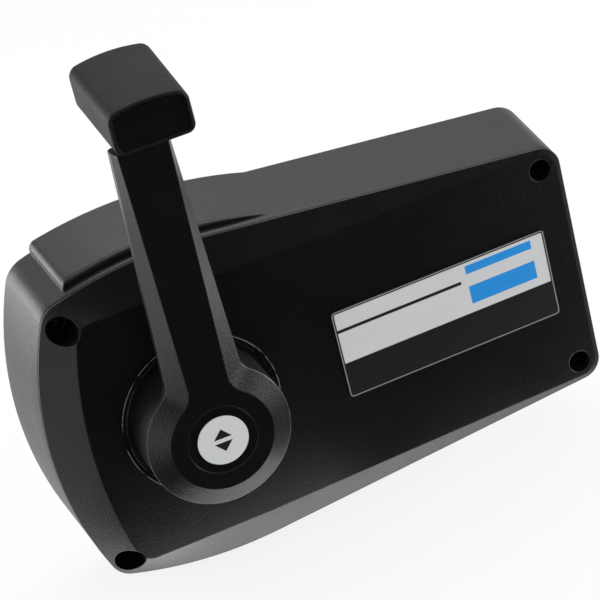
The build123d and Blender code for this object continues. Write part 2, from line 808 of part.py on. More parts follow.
def lever_profile(stand_off, hub, half_low, half_top, blend, inset=0.0):
    """Hub circle with the blade rising from it through concave blends, moved inward by inset."""
    hub_arc = hub - inset
    low = Vector(half_low - inset, 0)
    high = Vector(half_top - inset, blade_top)
    along = (high - low).normalized()
    outward = Vector(along.Y, -along.X)
    blend_arc = blend + inset
    reach_out = low.dot(outward) + blend_arc
    reach_up = sqrt((hub_arc + blend_arc)**2 - reach_out**2) - low.dot(along)
    line_end = low + along * reach_up
    centre = line_end + outward * blend_arc
    hub_end = centre * (hub_arc / (hub_arc + blend_arc))
    middle = centre - ((centre - line_end) + (centre - hub_end)).normalized() * blend_arc
    hub_side = (degrees(atan2(hub_end.Y, hub_end.X)) - 90) / 2
    with BuildSketch(out(stand_off)) as profile:
        with BuildLine():
            top = Line((0, blade_top), (high.X, high.Y))
            side = Line((high.X, high.Y), line_end)
            neck = ThreePointArc(line_end, middle, hub_end)
            round_hub = ThreePointArc(hub_end, polar(hub_arc, hub_side), (0, -hub_arc))
            mirror([top, side, neck, round_hub], about=Plane.YZ)
        make_face()
    return profile.sketch


# Hand lever: bevelled blade on a skirted hub, with a core that clamps the shaft
with BuildPart() as lever_arm:
    blade_back = hub_front - blade_thick
    bevel_foot = hub_front - bevel_depth
    outer = (hub_radius, blade_half_low, blade_half_top, blade_fillet)
    loft(
        [
            lever_profile(bevel_foot, *outer),
            lever_profile(hub_front, hub_face_radius, face_half_low, face_half_top, face_fillet),
        ],
        ruled=True,
    )
    extrude(lever_profile(blade_back + blade_corner, *outer), amount=bevel_foot - blade_back - blade_corner)
    loft(
        [
            lever_profile(blade_back, *outer, blade_corner),
            lever_profile(blade_back + blade_corner, *outer),
        ],
        ruled=True,
    )
    rods(hub_radius, hub_back, bevel_foot)
    rods(hub_radius - hub_wall, hub_back, hub_front - hub_roof, mode=Mode.SUBTRACT)
    rods(hub_core_radius, hub_back, hub_front - hub_roof)
    rods(shaft_radius, hub_back, socket_top, mode=Mode.SUBTRACT)
    rods(stem_radius + 2 * stem_gap, socket_top, core_top, mode=Mode.SUBTRACT)
    rods(button_bore, core_top, hub_front, mode=Mode.SUBTRACT)
    with BuildSketch(Plane.XY.offset(-hub_radius)):
        with Locations((0, -set_screw_at)):
            Circle(set_screw_radius)
    extrude(amount=hub_radius - shaft_radius, mode=Mode.SUBTRACT)
    tang_foot = blade_top + tang_floor
    with BuildSketch(Plane.YZ.offset(-tang_half)):
        with BuildLine():
            Polyline(
                (tang_inset - hub_front, blade_top - tang_height),
                (tang_inset - hub_front, tang_foot + tang_height),
                (-tang_back, tang_foot + tang_height),
                (-tang_back, tang_foot),
                (-blade_back - tang_inset, tang_foot),
                (-blade_back - tang_inset, blade_top - tang_height),
                close=True,
            )
        make_face()
    extrude(amount=2 * tang_half)
lever_arm.part.label = "lever_arm"
export_step(lever_arm.part, "parts/lever_arm.step")

with BuildPart() as hub_set_screw:
    with BuildSketch(Plane.XY.offset(-shaft_radius)):
        with Locations((0, -set_screw_at)):
            Circle(set_screw_radius)
    extrude(amount=-set_screw_length)
hub_set_screw.part.label = "hub_set_screw"
export_step(hub_set_screw.part, "parts/hub_set_screw.step")


def knob_profile(stand_off, inset=0.0):
    """Section of the knob with its crowned top, moved inward by inset."""
    share = (knob_front - stand_off) / (knob_front - knob_back)
    half = (knob_width + (knob_back_width - knob_width) * share) / 2 - inset
    low = knob_z - knob_height / 2 + knob_back_lift * share + inset
    height = knob_height + (knob_back_height - knob_height) * share - 2 * inset
    high = low + height - knob_crown / 2
    with BuildSketch(out(stand_off)) as profile:
        with BuildLine():
            Polyline((knob_x + half, high), (knob_x + half, low), (knob_x - half, low), (knob_x - half, high))
            ThreePointArc((knob_x - half, high), (knob_x, high + knob_crown), (knob_x + half, high))
        make_face()
        fillet(profile.vertices(), knob_corner - inset)
    return profile.sketch


def rounded_end(stand_off, radius, inward):
    """Sections that round an end of the knob, from its face to where its full section starts."""
    return [
        knob_profile(stand_off + inward * radius * (1 - cos(radians(turn))), radius * (1 - sin(radians(turn))))
        for turn in (0, 30, 60, 90)
    ]


# Soft grip knob on the tang, with a recessed front panel
with BuildPart() as knob:
    back_end = rounded_end(knob_back, knob_back_round, 1)
    front_end = rounded_end(knob_front, knob_front_round, -1)
    loft([*back_end, *reversed(front_end)], ruled=True)
    with BuildSketch(out(knob_front - panel_sink - panel_thick)):
        with Locations((knob_x, knob_z)):
            RectangleRounded(panel_width, panel_height, panel_corner)
    extrude(amount=panel_sink + panel_thick, mode=Mode.SUBTRACT)
    add(lever_arm.part, mode=Mode.SUBTRACT)
    with BuildSketch(Plane.XY.offset(knob_z - knob_height / 2)):
        with Locations(*[(0, -spot) for spot in knob_screw_spots]):
            Circle(screw_head + screw_clearance)
    extrude(amount=tang_floor - knob_screw_seat, mode=Mode.SUBTRACT)
    with BuildSketch(Plane.XY.offset(knob_z - knob_height / 2)):
        with Locations(*[(0, -spot) for spot in knob_screw_spots]):
            Circle(screw_radius)
    extrude(amount=tang_floor, mode=Mode.SUBTRACT)
knob.part.label = "knob"
export_step(knob.part, "parts/knob.step")

with BuildPart() as knob_panel:
    with BuildSketch(out(knob_front - panel_sink - panel_thick)):
        with Locations((knob_x, knob_z)):
            RectangleRounded(panel_width, panel_height, panel_corner)
    extrude(amount=panel_thick)
knob_panel.part.label = "knob_panel"
export_step(knob_panel.part, "parts/knob_panel.step")

with BuildPart() as knob_screws:
    screw_seat_z = blade_top + tang_floor - knob_screw_seat
    with BuildSketch(Plane.XY.offset(screw_seat_z)):
        with Locations(*[(0, -spot) for spot in knob_screw_spots]):
            Circle(screw_head)
    extrude(amount=-knob_screw_seat)
    with BuildSketch(Plane.XY.offset(screw_seat_z)):
        with Locations(*[(0, -spot) for spot in knob_screw_spots]):
            Circle(screw_radius)
    extrude(amount=knob_screw_seat)
knob_screws.part.label = "knob_screws"
export_step(knob_screws.part, "parts/knob_screws.step")

# Warm-up button: pressed in, its dog pin frees the drive gear
with BuildPart() as button_cap:
    rods(button_radius, button_back, hub_front)
    rods(button_radius - button_wall, button_back, hub_front - button_top, mode=Mode.SUBTRACT)
    rods(badge_radius, hub_front - badge_sink, hub_front, mode=Mode.SUBTRACT)
button_cap.part.label = "button_cap"
export_step(button_cap.part, "parts/button_cap.step")

with BuildPart() as button_badge:
    rods(badge_radius, hub_front - badge_sink, hub_front - badge_sink + badge_thick)
button_badge.part.label = "button_badge"
export_step(button_badge.part, "parts/button_badge.step")

with BuildPart() as button_stem:
    stem_end = dog_pin_rest - dog_pin_half + dog_pin_radius
    rods(stem_radius, stem_end, hub_front - button_top)
    with BuildSketch(Plane.YZ.offset(-stem_radius)):
        with Locations((-dog_pin_rest, 0)):
            Circle(dog_pin_radius)
    extrude(amount=2 * stem_radius, mode=Mode.SUBTRACT)
button_stem.part.label = "button_stem"
export_step(button_stem.part, "parts/button_stem.step")

with BuildPart() as dog_pin:
    with BuildSketch(Plane.YZ.offset(-dog_pin_half)):
        with Locations((-dog_pin_rest, 0)):
            Circle(dog_pin_radius)
    extrude(amount=2 * dog_pin_half)
dog_pin.part.label = "dog_pin"
export_step(dog_pin.part, "parts/dog_pin.step")

with BuildPart() as stem_clip:
    clip_front = socket_top - face_gap
    rods(stem_clip_radius, clip_front - clip_thick, clip_front)
    rods(stem_radius, clip_front - clip_thick, clip_front, mode=Mode.SUBTRACT)
stem_clip.part.label = "stem_clip"
export_step(stem_clip.part, "parts/stem_clip.step")

# Spring that returns the button, seated between the core's floor and the cap
with BuildPart() as button_spring:
    spring_low = core_top + spring_wire
    spring_high = hub_front - button_top - spring_wire
    coil_points = [
        (*polar(spring_radius, step * 360 / coil_steps), spring_low + (spring_high - spring_low) * step / run)
        for run in [spring_turns * coil_steps]
        for step in range(run + 1)
    ]
    with BuildLine() as coil:
        Polyline(*[(x, -d, z) for x, z, d in coil_points])
    with BuildSketch(Plane(coil.line @ 0, z_dir=coil.line % 0)):
        RegularPolygon(spring_wire, 6)
    sweep(path=coil.line, transition=Transition.RIGHT)
button_spring.part.label = "button_spring"
export_step(button_spring.part, "parts/button_spring.step")

# Shift gear: a toothed sector that turns on the shift post
with BuildPart() as shift_gear:
    shift_phase = 180 + shift_bearing + tooth_angle_shift / 2
    sector_teeth = tooth_points(shift_teeth, range(shift_first, shift_last + 1), shift_phase, shift_post)
    with BuildSketch(out(gear_at)):
        with BuildLine():
            Polyline(shift_post, *sector_teeth, close=True)
        make_face()
        with Locations(shift_post):
            Circle(arm_hub)
            Circle(post_radius + running_gap, mode=Mode.SUBTRACT)
    extrude(amount=gear_thick)
shift_gear.part.label = "shift_gear"
export_step(shift_gear.part, "parts/shift_gear.step")

with BuildPart() as shift_arm:
    extrude(
        arm_profile(out(shift_arm_at), [shift_post, shift_swivel_spot], arm_hub, arm_end),
        amount=arm_thick,
    )
    arm_end_at = shift_arm_at + arm_thick
    rods(post_radius + running_gap, shift_arm_at, arm_end_at, [shift_post], Mode.SUBTRACT)
    rods(swivel_pin + running_gap, shift_arm_at, arm_end_at, [shift_swivel_spot], Mode.SUBTRACT)
shift_arm.part.label = "shift_arm"
export_step(shift_arm.part, "parts/shift_arm.step")

# Bell crank: the link turns it, its lower end pulls the throttle cable
with BuildPart() as throttle_arm:
    arm_spots = [throttle_post, throttle_link_spot, throttle_swivel_spot]
    extrude(arm_profile(out(crank_at), arm_spots, arm_hub, arm_end), amount=crank_thick)
    rods(post_radius + running_gap, crank_at, link_at, [throttle_post], Mode.SUBTRACT)
    rods(pin_radius, crank_at, link_at, [throttle_link_spot], Mode.SUBTRACT)
    rods(swivel_pin + running_gap, crank_at, link_at, [throttle_swivel_spot], Mode.SUBTRACT)
throttle_arm.part.label = "throttle_arm"
export_step(throttle_arm.part, "parts/throttle_arm.step")

with BuildPart() as throttle_arm_pin:
    link_pin(throttle_link_spot)
throttle_arm_pin.part.label = "throttle_arm_pin"
export_step(throttle_arm_pin.part, "parts/throttle_arm_pin.step")

# Link between the crank on the shaft and the bell crank
with BuildPart() as throttle_link:
    with BuildSketch(out(link_at)) as link_shape:
        with Locations(crank_pin_spot, throttle_link_spot):
            Circle(link_half)
        make_hull()
    extrude(amount=link_thick)
    rods(pin_radius + running_gap, link_at, link_at + link_thick, [crank_pin_spot], Mode.SUBTRACT)
    rods(pin_radius + face_gap, link_at, link_at + link_thick, [throttle_link_spot], Mode.SUBTRACT)
throttle_link.part.label = "throttle_link"
export_step(throttle_link.part, "parts/throttle_link.step")


def swivel(spot, seat, arm_back):
    """Cable swivel: a turned body on the arm, cross-drilled for the cable's core."""
    rods(swivel_radius, seat, seat + swivel_height, [spot])
    rods(swivel_pin, arm_back - face_gap - clip_thick - pin_end, seat, [spot])
    rods(swivel_pin + clip_wall, arm_back - face_gap - clip_thick, arm_back - face_gap, [spot])
    with BuildSketch(Plane.YZ.offset(spot[0] - swivel_radius)) as core:
        with Locations((-seat - swivel_height / 2, spot[1])):
            Circle(core_hole)
    extrude(core.sketch, amount=2 * swivel_radius, mode=Mode.SUBTRACT)
    rods(clamp_screw, seat + swivel_height / 2, seat + swivel_height, [spot], Mode.SUBTRACT)


def clamp_bolt(spot, seat):
    """Screw that pinches the core in its swivel."""
    top = seat + swivel_height
    rods(clamp_screw, seat + swivel_height / 2 + core_hole / 2, top, [spot])
    rods(clamp_head, top, top + clamp_head_height, [spot])


with BuildPart() as throttle_swivel:
    swivel(throttle_swivel_spot, throttle_swivel_at, crank_at)
throttle_swivel.part.label = "throttle_swivel"
export_step(throttle_swivel.part, "parts/throttle_swivel.step")

with BuildPart() as shift_swivel:
    swivel(shift_swivel_spot, shift_swivel_at, shift_arm_at)
shift_swivel.part.label = "shift_swivel"
export_step(shift_swivel.part, "parts/shift_swivel.step")

with BuildPart() as throttle_clamp_screw:
    clamp_bolt(throttle_swivel_spot, throttle_swivel_at)
throttle_clamp_screw.part.label = "throttle_clamp_screw"
export_step(throttle_clamp_screw.part, "parts/throttle_clamp_screw.step")

with BuildPart() as shift_clamp_screw:
    clamp_bolt(shift_swivel_spot, shift_swivel_at)
shift_clamp_screw.part.label = "shift_clamp_screw"
export_step(shift_clamp_screw.part, "parts/shift_clamp_screw.step")


def anchor_groove(cable_at, z):
    """Round channel for a cable's jacket, along X through an anchor."""
    with BuildSketch(Plane.YZ.offset(anchor_x - anchor_length / 2)) as groove:
        with Locations((-cable_at, z)):
            Circle(jacket_radius)
    extrude(groove.sketch, amount=anchor_length, mode=Mode.SUBTRACT)


def anchor_block(start, thick, cable_at, z):
    """Half of a cable anchor, grooved for the jacket and drilled for its cap's screws."""
    with BuildSketch(out(start)) as block:
        with Locations((anchor_x, z)):
            Rectangle(anchor_length, 2 * anchor_half)
    extrude(block.sketch, amount=thick)
    anchor_groove(cable_at, z)
    spots = [(anchor_x, z + side * cap_screw_z) for side in (1, -1)]
    rods(screw_radius, cable_at - cap_screw_grip, cable_at + cap_thick, spots, Mode.SUBTRACT)


# Cable anchors on the base plate, each closed by a screwed cap
with BuildPart() as throttle_anchor:
    anchor_block(plate_thick, throttle_cable_at - plate_thick, throttle_cable_at, throttle_port_z)
throttle_anchor.part.label = "throttle_anchor"
export_step(throttle_anchor.part, "parts/throttle_anchor.step")

with BuildPart() as shift_anchor:
    anchor_block(plate_thick, shift_cable_at - plate_thick, shift_cable_at, shift_port_z)
shift_anchor.part.label = "shift_anchor"
export_step(shift_anchor.part, "parts/shift_anchor.step")

with BuildPart() as throttle_anchor_cap:
    anchor_block(throttle_cable_at, cap_thick, throttle_cable_at, throttle_port_z)
throttle_anchor_cap.part.label = "throttle_anchor_cap"
export_step(throttle_anchor_cap.part, "parts/throttle_anchor_cap.step")

with BuildPart() as shift_anchor_cap:
    anchor_block(shift_cable_at, cap_thick, shift_cable_at, shift_port_z)
shift_anchor_cap.part.label = "shift_anchor_cap"
export_step(shift_anchor_cap.part, "parts/shift_anchor_cap.step")

with BuildPart() as anchor_screws:
    for cable_at, z in [(throttle_cable_at, throttle_port_z), (shift_cable_at, shift_port_z)]:
        spots = [(anchor_x, z + side * cap_screw_z) for side in (1, -1)]
        top = cable_at + cap_thick
        rods(screw_radius, cable_at - cap_screw_grip, top, spots)
        rods(clamp_head, top, top + clamp_head_height, spots)
anchor_screws.part.label = "anchor_screws"
export_step(anchor_screws.part, "parts/anchor_screws.step")

# Detent: a sprung ball in a sleeve points at the notched disc
disc_middle = detent_at + detent_thick / 2
ball_x = -(detent_radius + face_gap + ball_radius)
sleeve_mouth = -(detent_radius + sleeve_mouth_gap)
sleeve_bore = ball_radius + 2 * running_gap


def along_x(radius, start, end, mode=Mode.ADD):
    """Round rod or hole along X in the plane of the detent disc."""
    with BuildSketch(Plane.YZ.offset(start)) as section:
        with Locations((-disc_middle, 0)):
            Circle(radius)
    extrude(section.sketch, amount=end - start, mode=mode)


with BuildPart() as detent_bracket:
    with BuildSketch(out(plate_thick)):
        with Locations((detent_bracket_x, 0)):
            Rectangle(bracket_thick, bracket_width, align=(Align.MIN, Align.CENTER))
    extrude(amount=disc_middle + sleeve_radius + bracket_thick - plate_thick)
    with BuildSketch(out(plate_thick)):
        with Locations((detent_bracket_x, 0)):
            Rectangle(bracket_thick + bracket_foot, bracket_width, align=(Align.MIN, Align.CENTER))
    extrude(amount=bracket_thick)
    along_x(sleeve_radius, detent_bracket_x, detent_bracket_x + bracket_thick, Mode.SUBTRACT)
detent_bracket.part.label = "detent_bracket"
export_step(detent_bracket.part, "parts/detent_bracket.step")

with BuildPart() as detent_sleeve:
    along_x(sleeve_radius, -sleeve_back, sleeve_mouth)
    along_x(sleeve_bore, -sleeve_back, sleeve_mouth, Mode.SUBTRACT)
detent_sleeve.part.label = "detent_sleeve"
export_step(detent_sleeve.part, "parts/detent_sleeve.step")

with BuildPart() as detent_plug:
    along_x(sleeve_bore, -sleeve_back, plug_length - sleeve_back)
detent_plug.part.label = "detent_plug"
export_step(detent_plug.part, "parts/detent_plug.step")

with BuildPart() as detent_ball:
    with Locations((ball_x, -disc_middle, 0)):
        Sphere(ball_radius)
detent_ball.part.label = "detent_ball"
export_step(detent_ball.part, "parts/detent_ball.step")

with BuildPart() as detent_spring:
    spring_back = plug_length - sleeve_back + spring_wire
    spring_front = ball_x - ball_radius - spring_wire
    coil_points = [
        (spring_back + (spring_front - spring_back) * step / run,
         *polar(ball_radius - spring_wire, step * 360 / coil_steps, -disc_middle))
        for run in [detent_spring_turns * coil_steps]
        for step in range(run + 1)
    ]
    with BuildLine() as detent_coil:
        Polyline(*coil_points)
    with BuildSketch(Plane(detent_coil.line @ 0, z_dir=detent_coil.line % 0)):
        RegularPolygon(spring_wire, 6)
    sweep(path=detent_coil.line, transition=Transition.RIGHT)
detent_spring.part.label = "detent_spring"
export_step(detent_spring.part, "parts/detent_spring.step")

# Friction brake: a screw presses a curved shoe on the drum
drum_middle = drum_at + drum_thick / 2
shoe_inner = drum_radius + shoe_gap
shoe_outer = shoe_inner + shoe_thick
with BuildPart() as friction_shoe:
    with BuildSketch(out(drum_at)):
        with BuildLine():
            Polyline(
                polar(shoe_inner, 90 + shoe_half_angle),
                polar(shoe_outer, 90 + shoe_half_angle),
            )
            ThreePointArc(
                polar(shoe_outer, 90 + shoe_half_angle),
                polar(shoe_outer, 90),
                polar(shoe_outer, 90 - shoe_half_angle),
            )
            Polyline(
                polar(shoe_outer, 90 - shoe_half_angle),
                polar(shoe_inner, 90 - shoe_half_angle),
            )
            ThreePointArc(
                polar(shoe_inner, 90 - shoe_half_angle),
                polar(shoe_inner, 90),
                polar(shoe_inner, 90 + shoe_half_angle),
            )
        make_face()
    extrude(amount=drum_thick)
    with BuildSketch(Plane.XY.offset(shoe_outer - shoe_thick / 2)):
        with Locations((0, -drum_middle)):
            Rectangle(2 * friction_screw_radius, drum_thick)
    extrude(amount=shoe_thick)
friction_shoe.part.label = "friction_shoe"
export_step(friction_shoe.part, "parts/friction_shoe.step")

with BuildPart() as friction_bracket:
    with BuildSketch(out(plate_thick)):
        with Locations((0, friction_bracket_z)):
            Rectangle(friction_bracket_width, bracket_thick, align=(Align.CENTER, Align.MIN))
    extrude(amount=drum_middle + friction_screw_radius + bracket_thick - plate_thick)
    with BuildSketch(out(plate_thick)):
        with Locations((0, friction_bracket_z)):
            Rectangle(
                friction_bracket_width, bracket_thick + bracket_foot, align=(Align.CENTER, Align.MIN)
            )
    extrude(amount=bracket_thick)
    with BuildSketch(Plane.XY.offset(friction_bracket_z)):
        with Locations((0, -drum_middle)):
            Circle(friction_screw_radius)
    extrude(amount=bracket_thick, mode=Mode.SUBTRACT)
friction_bracket.part.label = "friction_bracket"
export_step(friction_bracket.part, "parts/friction_bracket.step")

with BuildPart() as friction_screw:
    screw_tip = shoe_outer + shoe_thick / 2
    with BuildSketch(Plane.XY.offset(screw_tip)):
        with Locations((0, -drum_middle)):
            Circle(friction_screw_radius)
    extrude(amount=friction_bracket_z + bracket_thick + friction_screw_proud - screw_tip)
friction_screw.part.label = "friction_screw"
export_step(friction_screw.part, "parts/friction_screw.step")

# Neutral safety switch on its bracket below the cam
plunger_tip = -cam_lobe - face_gap
switch_top = plunger_tip - plunger_travel - face_gap
switch_back = cam_at + (cam_thick - switch_depth) / 2
switch_x = (switch_bracket_x0 + switch_bracket_x1) / 2
switch_z = switch_top - switch_height / 2
switch_screws = [(switch_x + side * switch_screw_pitch / 2, switch_z) for side in (1, -1)]
with BuildPart() as switch_bracket:
    with BuildSketch(Plane.YZ.offset(switch_bracket_x0)):
        with BuildLine():
            Polyline(
                (-plate_thick, switch_bracket_z),
                (bracket_thick - switch_back, switch_bracket_z),
                (bracket_thick - switch_back, switch_top),
                (-switch_back, switch_top),
                (-switch_back, switch_bracket_z - bracket_thick),
                (-plate_thick - bracket_thick, switch_bracket_z - bracket_thick),
                (-plate_thick - bracket_thick, switch_bracket_z - bracket_thick - bracket_foot),
                (-plate_thick, switch_bracket_z - bracket_thick - bracket_foot),
                close=True,
            )
        make_face()
    extrude(amount=switch_bracket_x1 - switch_bracket_x0)
    rods(switch_screw, switch_back - bracket_thick, switch_back, switch_screws, Mode.SUBTRACT)
switch_bracket.part.label = "switch_bracket"
export_step(switch_bracket.part, "parts/switch_bracket.step")

with BuildPart() as neutral_switch:
    with BuildSketch(out(switch_back)):
        with Locations((switch_x, switch_z)):
            Rectangle(switch_length, switch_height)
    extrude(amount=switch_depth)
    chamfer(neutral_switch.edges().filter_by(Axis.Y), plunger_travel)
    rods(switch_screw, switch_back, switch_back + switch_depth, switch_screws, Mode.SUBTRACT)
    with BuildSketch(Plane.XY.offset(switch_top)):
        with Locations((0, -cam_at - cam_thick / 2)):
            Circle(plunger_radius + plunger_gap)
    extrude(amount=plunger_tip - plunger_length - switch_top - plunger_travel - face_gap, mode=Mode.SUBTRACT)
neutral_switch.part.label = "neutral_switch"
export_step(neutral_switch.part, "parts/neutral_switch.step")

with BuildPart() as switch_plunger:
    with BuildSketch(Plane.XY.offset(plunger_tip)):
        with Locations((0, -cam_at - cam_thick / 2)):
            Circle(plunger_radius)
    extrude(amount=-plunger_length)
switch_plunger.part.label = "switch_plunger"
export_step(switch_plunger.part, "parts/switch_plunger.step")

with BuildPart() as switch_fixings:
    head_seat = switch_back + switch_depth
    rods(switch_screw, switch_back - bracket_thick, head_seat, switch_screws)
    rods(switch_screw_head, head_seat, head_seat + face_gap, switch_screws)
switch_fixings.part.label = "switch_fixings"
export_step(switch_fixings.part, "parts/switch_fixings.step")

with BuildPart() as switch_terminals:
    with BuildSketch(Plane.XY.offset(switch_z - switch_height / 2)):
        with Locations(*[(switch_x + side * switch_screw_pitch / 2, -cam_at - cam_thick / 2) for side in (1, -1)]):
            Rectangle(terminal_width, terminal_thick)
    extrude(amount=-terminal_length)
switch_terminals.part.label = "switch_terminals"
export_step(switch_terminals.part, "parts/switch_terminals.step")
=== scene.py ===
"""Side-mount boat control lever: finishes, printed label, grip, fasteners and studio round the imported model."""

import math

import bmesh
import bpy
from mathutils import Matrix, Vector


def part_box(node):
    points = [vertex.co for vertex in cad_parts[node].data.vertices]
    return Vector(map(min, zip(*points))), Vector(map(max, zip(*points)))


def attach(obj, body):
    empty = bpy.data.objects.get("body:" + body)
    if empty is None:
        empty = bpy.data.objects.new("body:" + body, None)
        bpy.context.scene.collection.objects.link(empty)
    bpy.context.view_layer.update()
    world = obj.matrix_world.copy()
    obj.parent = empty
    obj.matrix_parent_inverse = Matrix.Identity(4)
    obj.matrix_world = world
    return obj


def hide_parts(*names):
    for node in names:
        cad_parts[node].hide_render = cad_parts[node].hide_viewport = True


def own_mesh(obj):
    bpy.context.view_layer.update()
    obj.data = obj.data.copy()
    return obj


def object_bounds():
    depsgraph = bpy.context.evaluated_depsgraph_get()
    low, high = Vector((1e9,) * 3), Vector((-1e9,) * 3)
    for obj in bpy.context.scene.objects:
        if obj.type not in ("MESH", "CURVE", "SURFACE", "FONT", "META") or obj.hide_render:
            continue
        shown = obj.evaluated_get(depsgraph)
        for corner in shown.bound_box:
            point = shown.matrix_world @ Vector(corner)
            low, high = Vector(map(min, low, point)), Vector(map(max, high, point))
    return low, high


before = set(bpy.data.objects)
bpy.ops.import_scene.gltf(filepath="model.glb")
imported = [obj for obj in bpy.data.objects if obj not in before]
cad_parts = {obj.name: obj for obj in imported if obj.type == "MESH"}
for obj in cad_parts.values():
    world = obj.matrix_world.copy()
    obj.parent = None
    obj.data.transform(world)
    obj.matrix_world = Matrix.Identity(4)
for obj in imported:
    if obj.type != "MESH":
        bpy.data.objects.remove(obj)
cad_low, cad_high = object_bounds()

bl_info = {
    "name": "Side-mount control lever",
    "version": (1, 0, 0),
    "blender": (4, 5, 0),
    "location": "View3D > Sidebar > Control lever",
    "description": "Dresses the packed control lever with its finishes, label, grip, springs and studio",
    "category": "Object",
}

MM = 0.001


# ---------------------------------------------------------------- sizes and colours

class CaseSettings(bpy.types.PropertyGroup):
    """Finish of the moulded case."""
    black: bpy.props.FloatVectorProperty(
        name="Case black", description="Colour of the moulded case", subtype="COLOR",
        default=(0.0028, 0.0028, 0.003), min=0, max=1)
    grain: bpy.props.FloatProperty(
        name="Grain size", description="Width of one grain of the moulded texture",
        default=0.0012, min=0.0001, unit="LENGTH")
    edge: bpy.props.FloatProperty(
        name="Edge softness", description="Radius that moulded and cast edges seem to have",
        default=0.0007, min=0, unit="LENGTH")


class LabelSettings(bpy.types.PropertyGroup):
    """Printed label: a silver field over a dark band, with plain level stripes."""
    silver: bpy.props.FloatVectorProperty(
        name="Silver", description="Colour of the printed field", subtype="COLOR",
        default=(0.52, 0.53, 0.54), min=0, max=1)
    blue: bpy.props.FloatVectorProperty(
        name="Blue", description="Colour of the stripes", subtype="COLOR",
        default=(0.0, 0.22, 0.6), min=0, max=1)
    ink: bpy.props.FloatVectorProperty(
        name="Ink", description="Colour of the dark band", subtype="COLOR",
        default=(0.01, 0.01, 0.011), min=0, max=1)
    band: bpy.props.FloatProperty(
        name="Band height", description="Height of the dark band along the label's foot",
        default=0.0165, min=0, unit="LENGTH")
    margin: bpy.props.FloatProperty(
        name="Margin", description="Dark margin between the label's edge and its frame line",
        default=0.0004, min=0, unit="LENGTH")
    line: bpy.props.FloatProperty(
        name="Line width", description="Width of the thin frame line", default=0.0004, min=0, unit="LENGTH")
    gap: bpy.props.FloatProperty(
        name="Field gap", description="Dark gap between the frame line and the silver field",
        default=0.0006, min=0, unit="LENGTH")


class FittingSettings(bpy.types.PropertyGroup):
    """Springs and screws."""
    wire: bpy.props.FloatProperty(
        name="Spring wire", description="Radius of the spring wire", default=0.0006, min=0.0001, unit="LENGTH")
    turn_sides: bpy.props.IntProperty(
        name="Turn sides", description="Straight sides that draw one turn of a spring", default=28, min=8)


class StudioSettings(bpy.types.PropertyGroup):
    """Lights, floor and camera."""
    key: bpy.props.FloatProperty(
        name="Key light", description="Power of the large light above and behind", default=4.0, min=0, unit="POWER")
    left: bpy.props.FloatProperty(
        name="Left light", description="Power of the light beside the nose", default=4.5, min=0, unit="POWER")
    right: bpy.props.FloatProperty(
        name="Right light", description="Power of the light beside the tail", default=9.0, min=0, unit="POWER")
    under: bpy.props.FloatProperty(
        name="Under light", description="Power of the strip under the front edge", default=0.07, min=0, unit="POWER")
    fill: bpy.props.FloatProperty(
        name="Fill light", description="Power of the light in front", default=4.4, min=0, unit="POWER")
    floor_drop: bpy.props.FloatProperty(
        name="Floor drop", description="Distance from the object's lowest point to the floor",
        default=0.002, min=0, unit="LENGTH")
    backdrop: bpy.props.FloatProperty(
        name="Backdrop", description="Brightness of the background as the camera sees it", default=1.0, min=0)


SETTINGS = {
    "lever_case": CaseSettings,
    "lever_label": LabelSettings,
    "lever_fittings": FittingSettings,
    "lever_studio": StudioSettings,
}


# ---------------------------------------------------------------- shader expressions

class Wire:
    """An output socket that can be used in Python expressions."""

    def __init__(self, finish, socket):
        self.finish = finish
        self.socket = socket

    def maths(self, operation, *others, clamp=False):
        inputs = {place: value for place, value in enumerate((self, *others))}
        return self.finish.node("ShaderNodeMath", {"operation": operation, "use_clamp": clamp}, inputs)

    def __add__(self, other):
        return self.maths("ADD", other)

    __radd__ = __add__

    def __sub__(self, other):
        return self.maths("SUBTRACT", other)

    def __rsub__(self, other):
        return self.finish.node("ShaderNodeMath", {"operation": "SUBTRACT"}, {0: other, 1: self})

    def __mul__(self, other):
        return self.maths("MULTIPLY", other)

    __rmul__ = __mul__

    def __truediv__(self, other):
        return self.maths("DIVIDE", other)

    def __lt__(self, other):
        return self.maths("LESS_THAN", other)

    def __gt__(self, other):
        return self.maths("GREATER_THAN", other)

    def __abs__(self):
        return self.maths("ABSOLUTE")

    def step(self, edge, soft):
        """0 below the edge and 1 above it, over a soft border."""
        return ((self - (edge - soft / 2)) / soft).maths("MULTIPLY", 1.0, clamp=True)


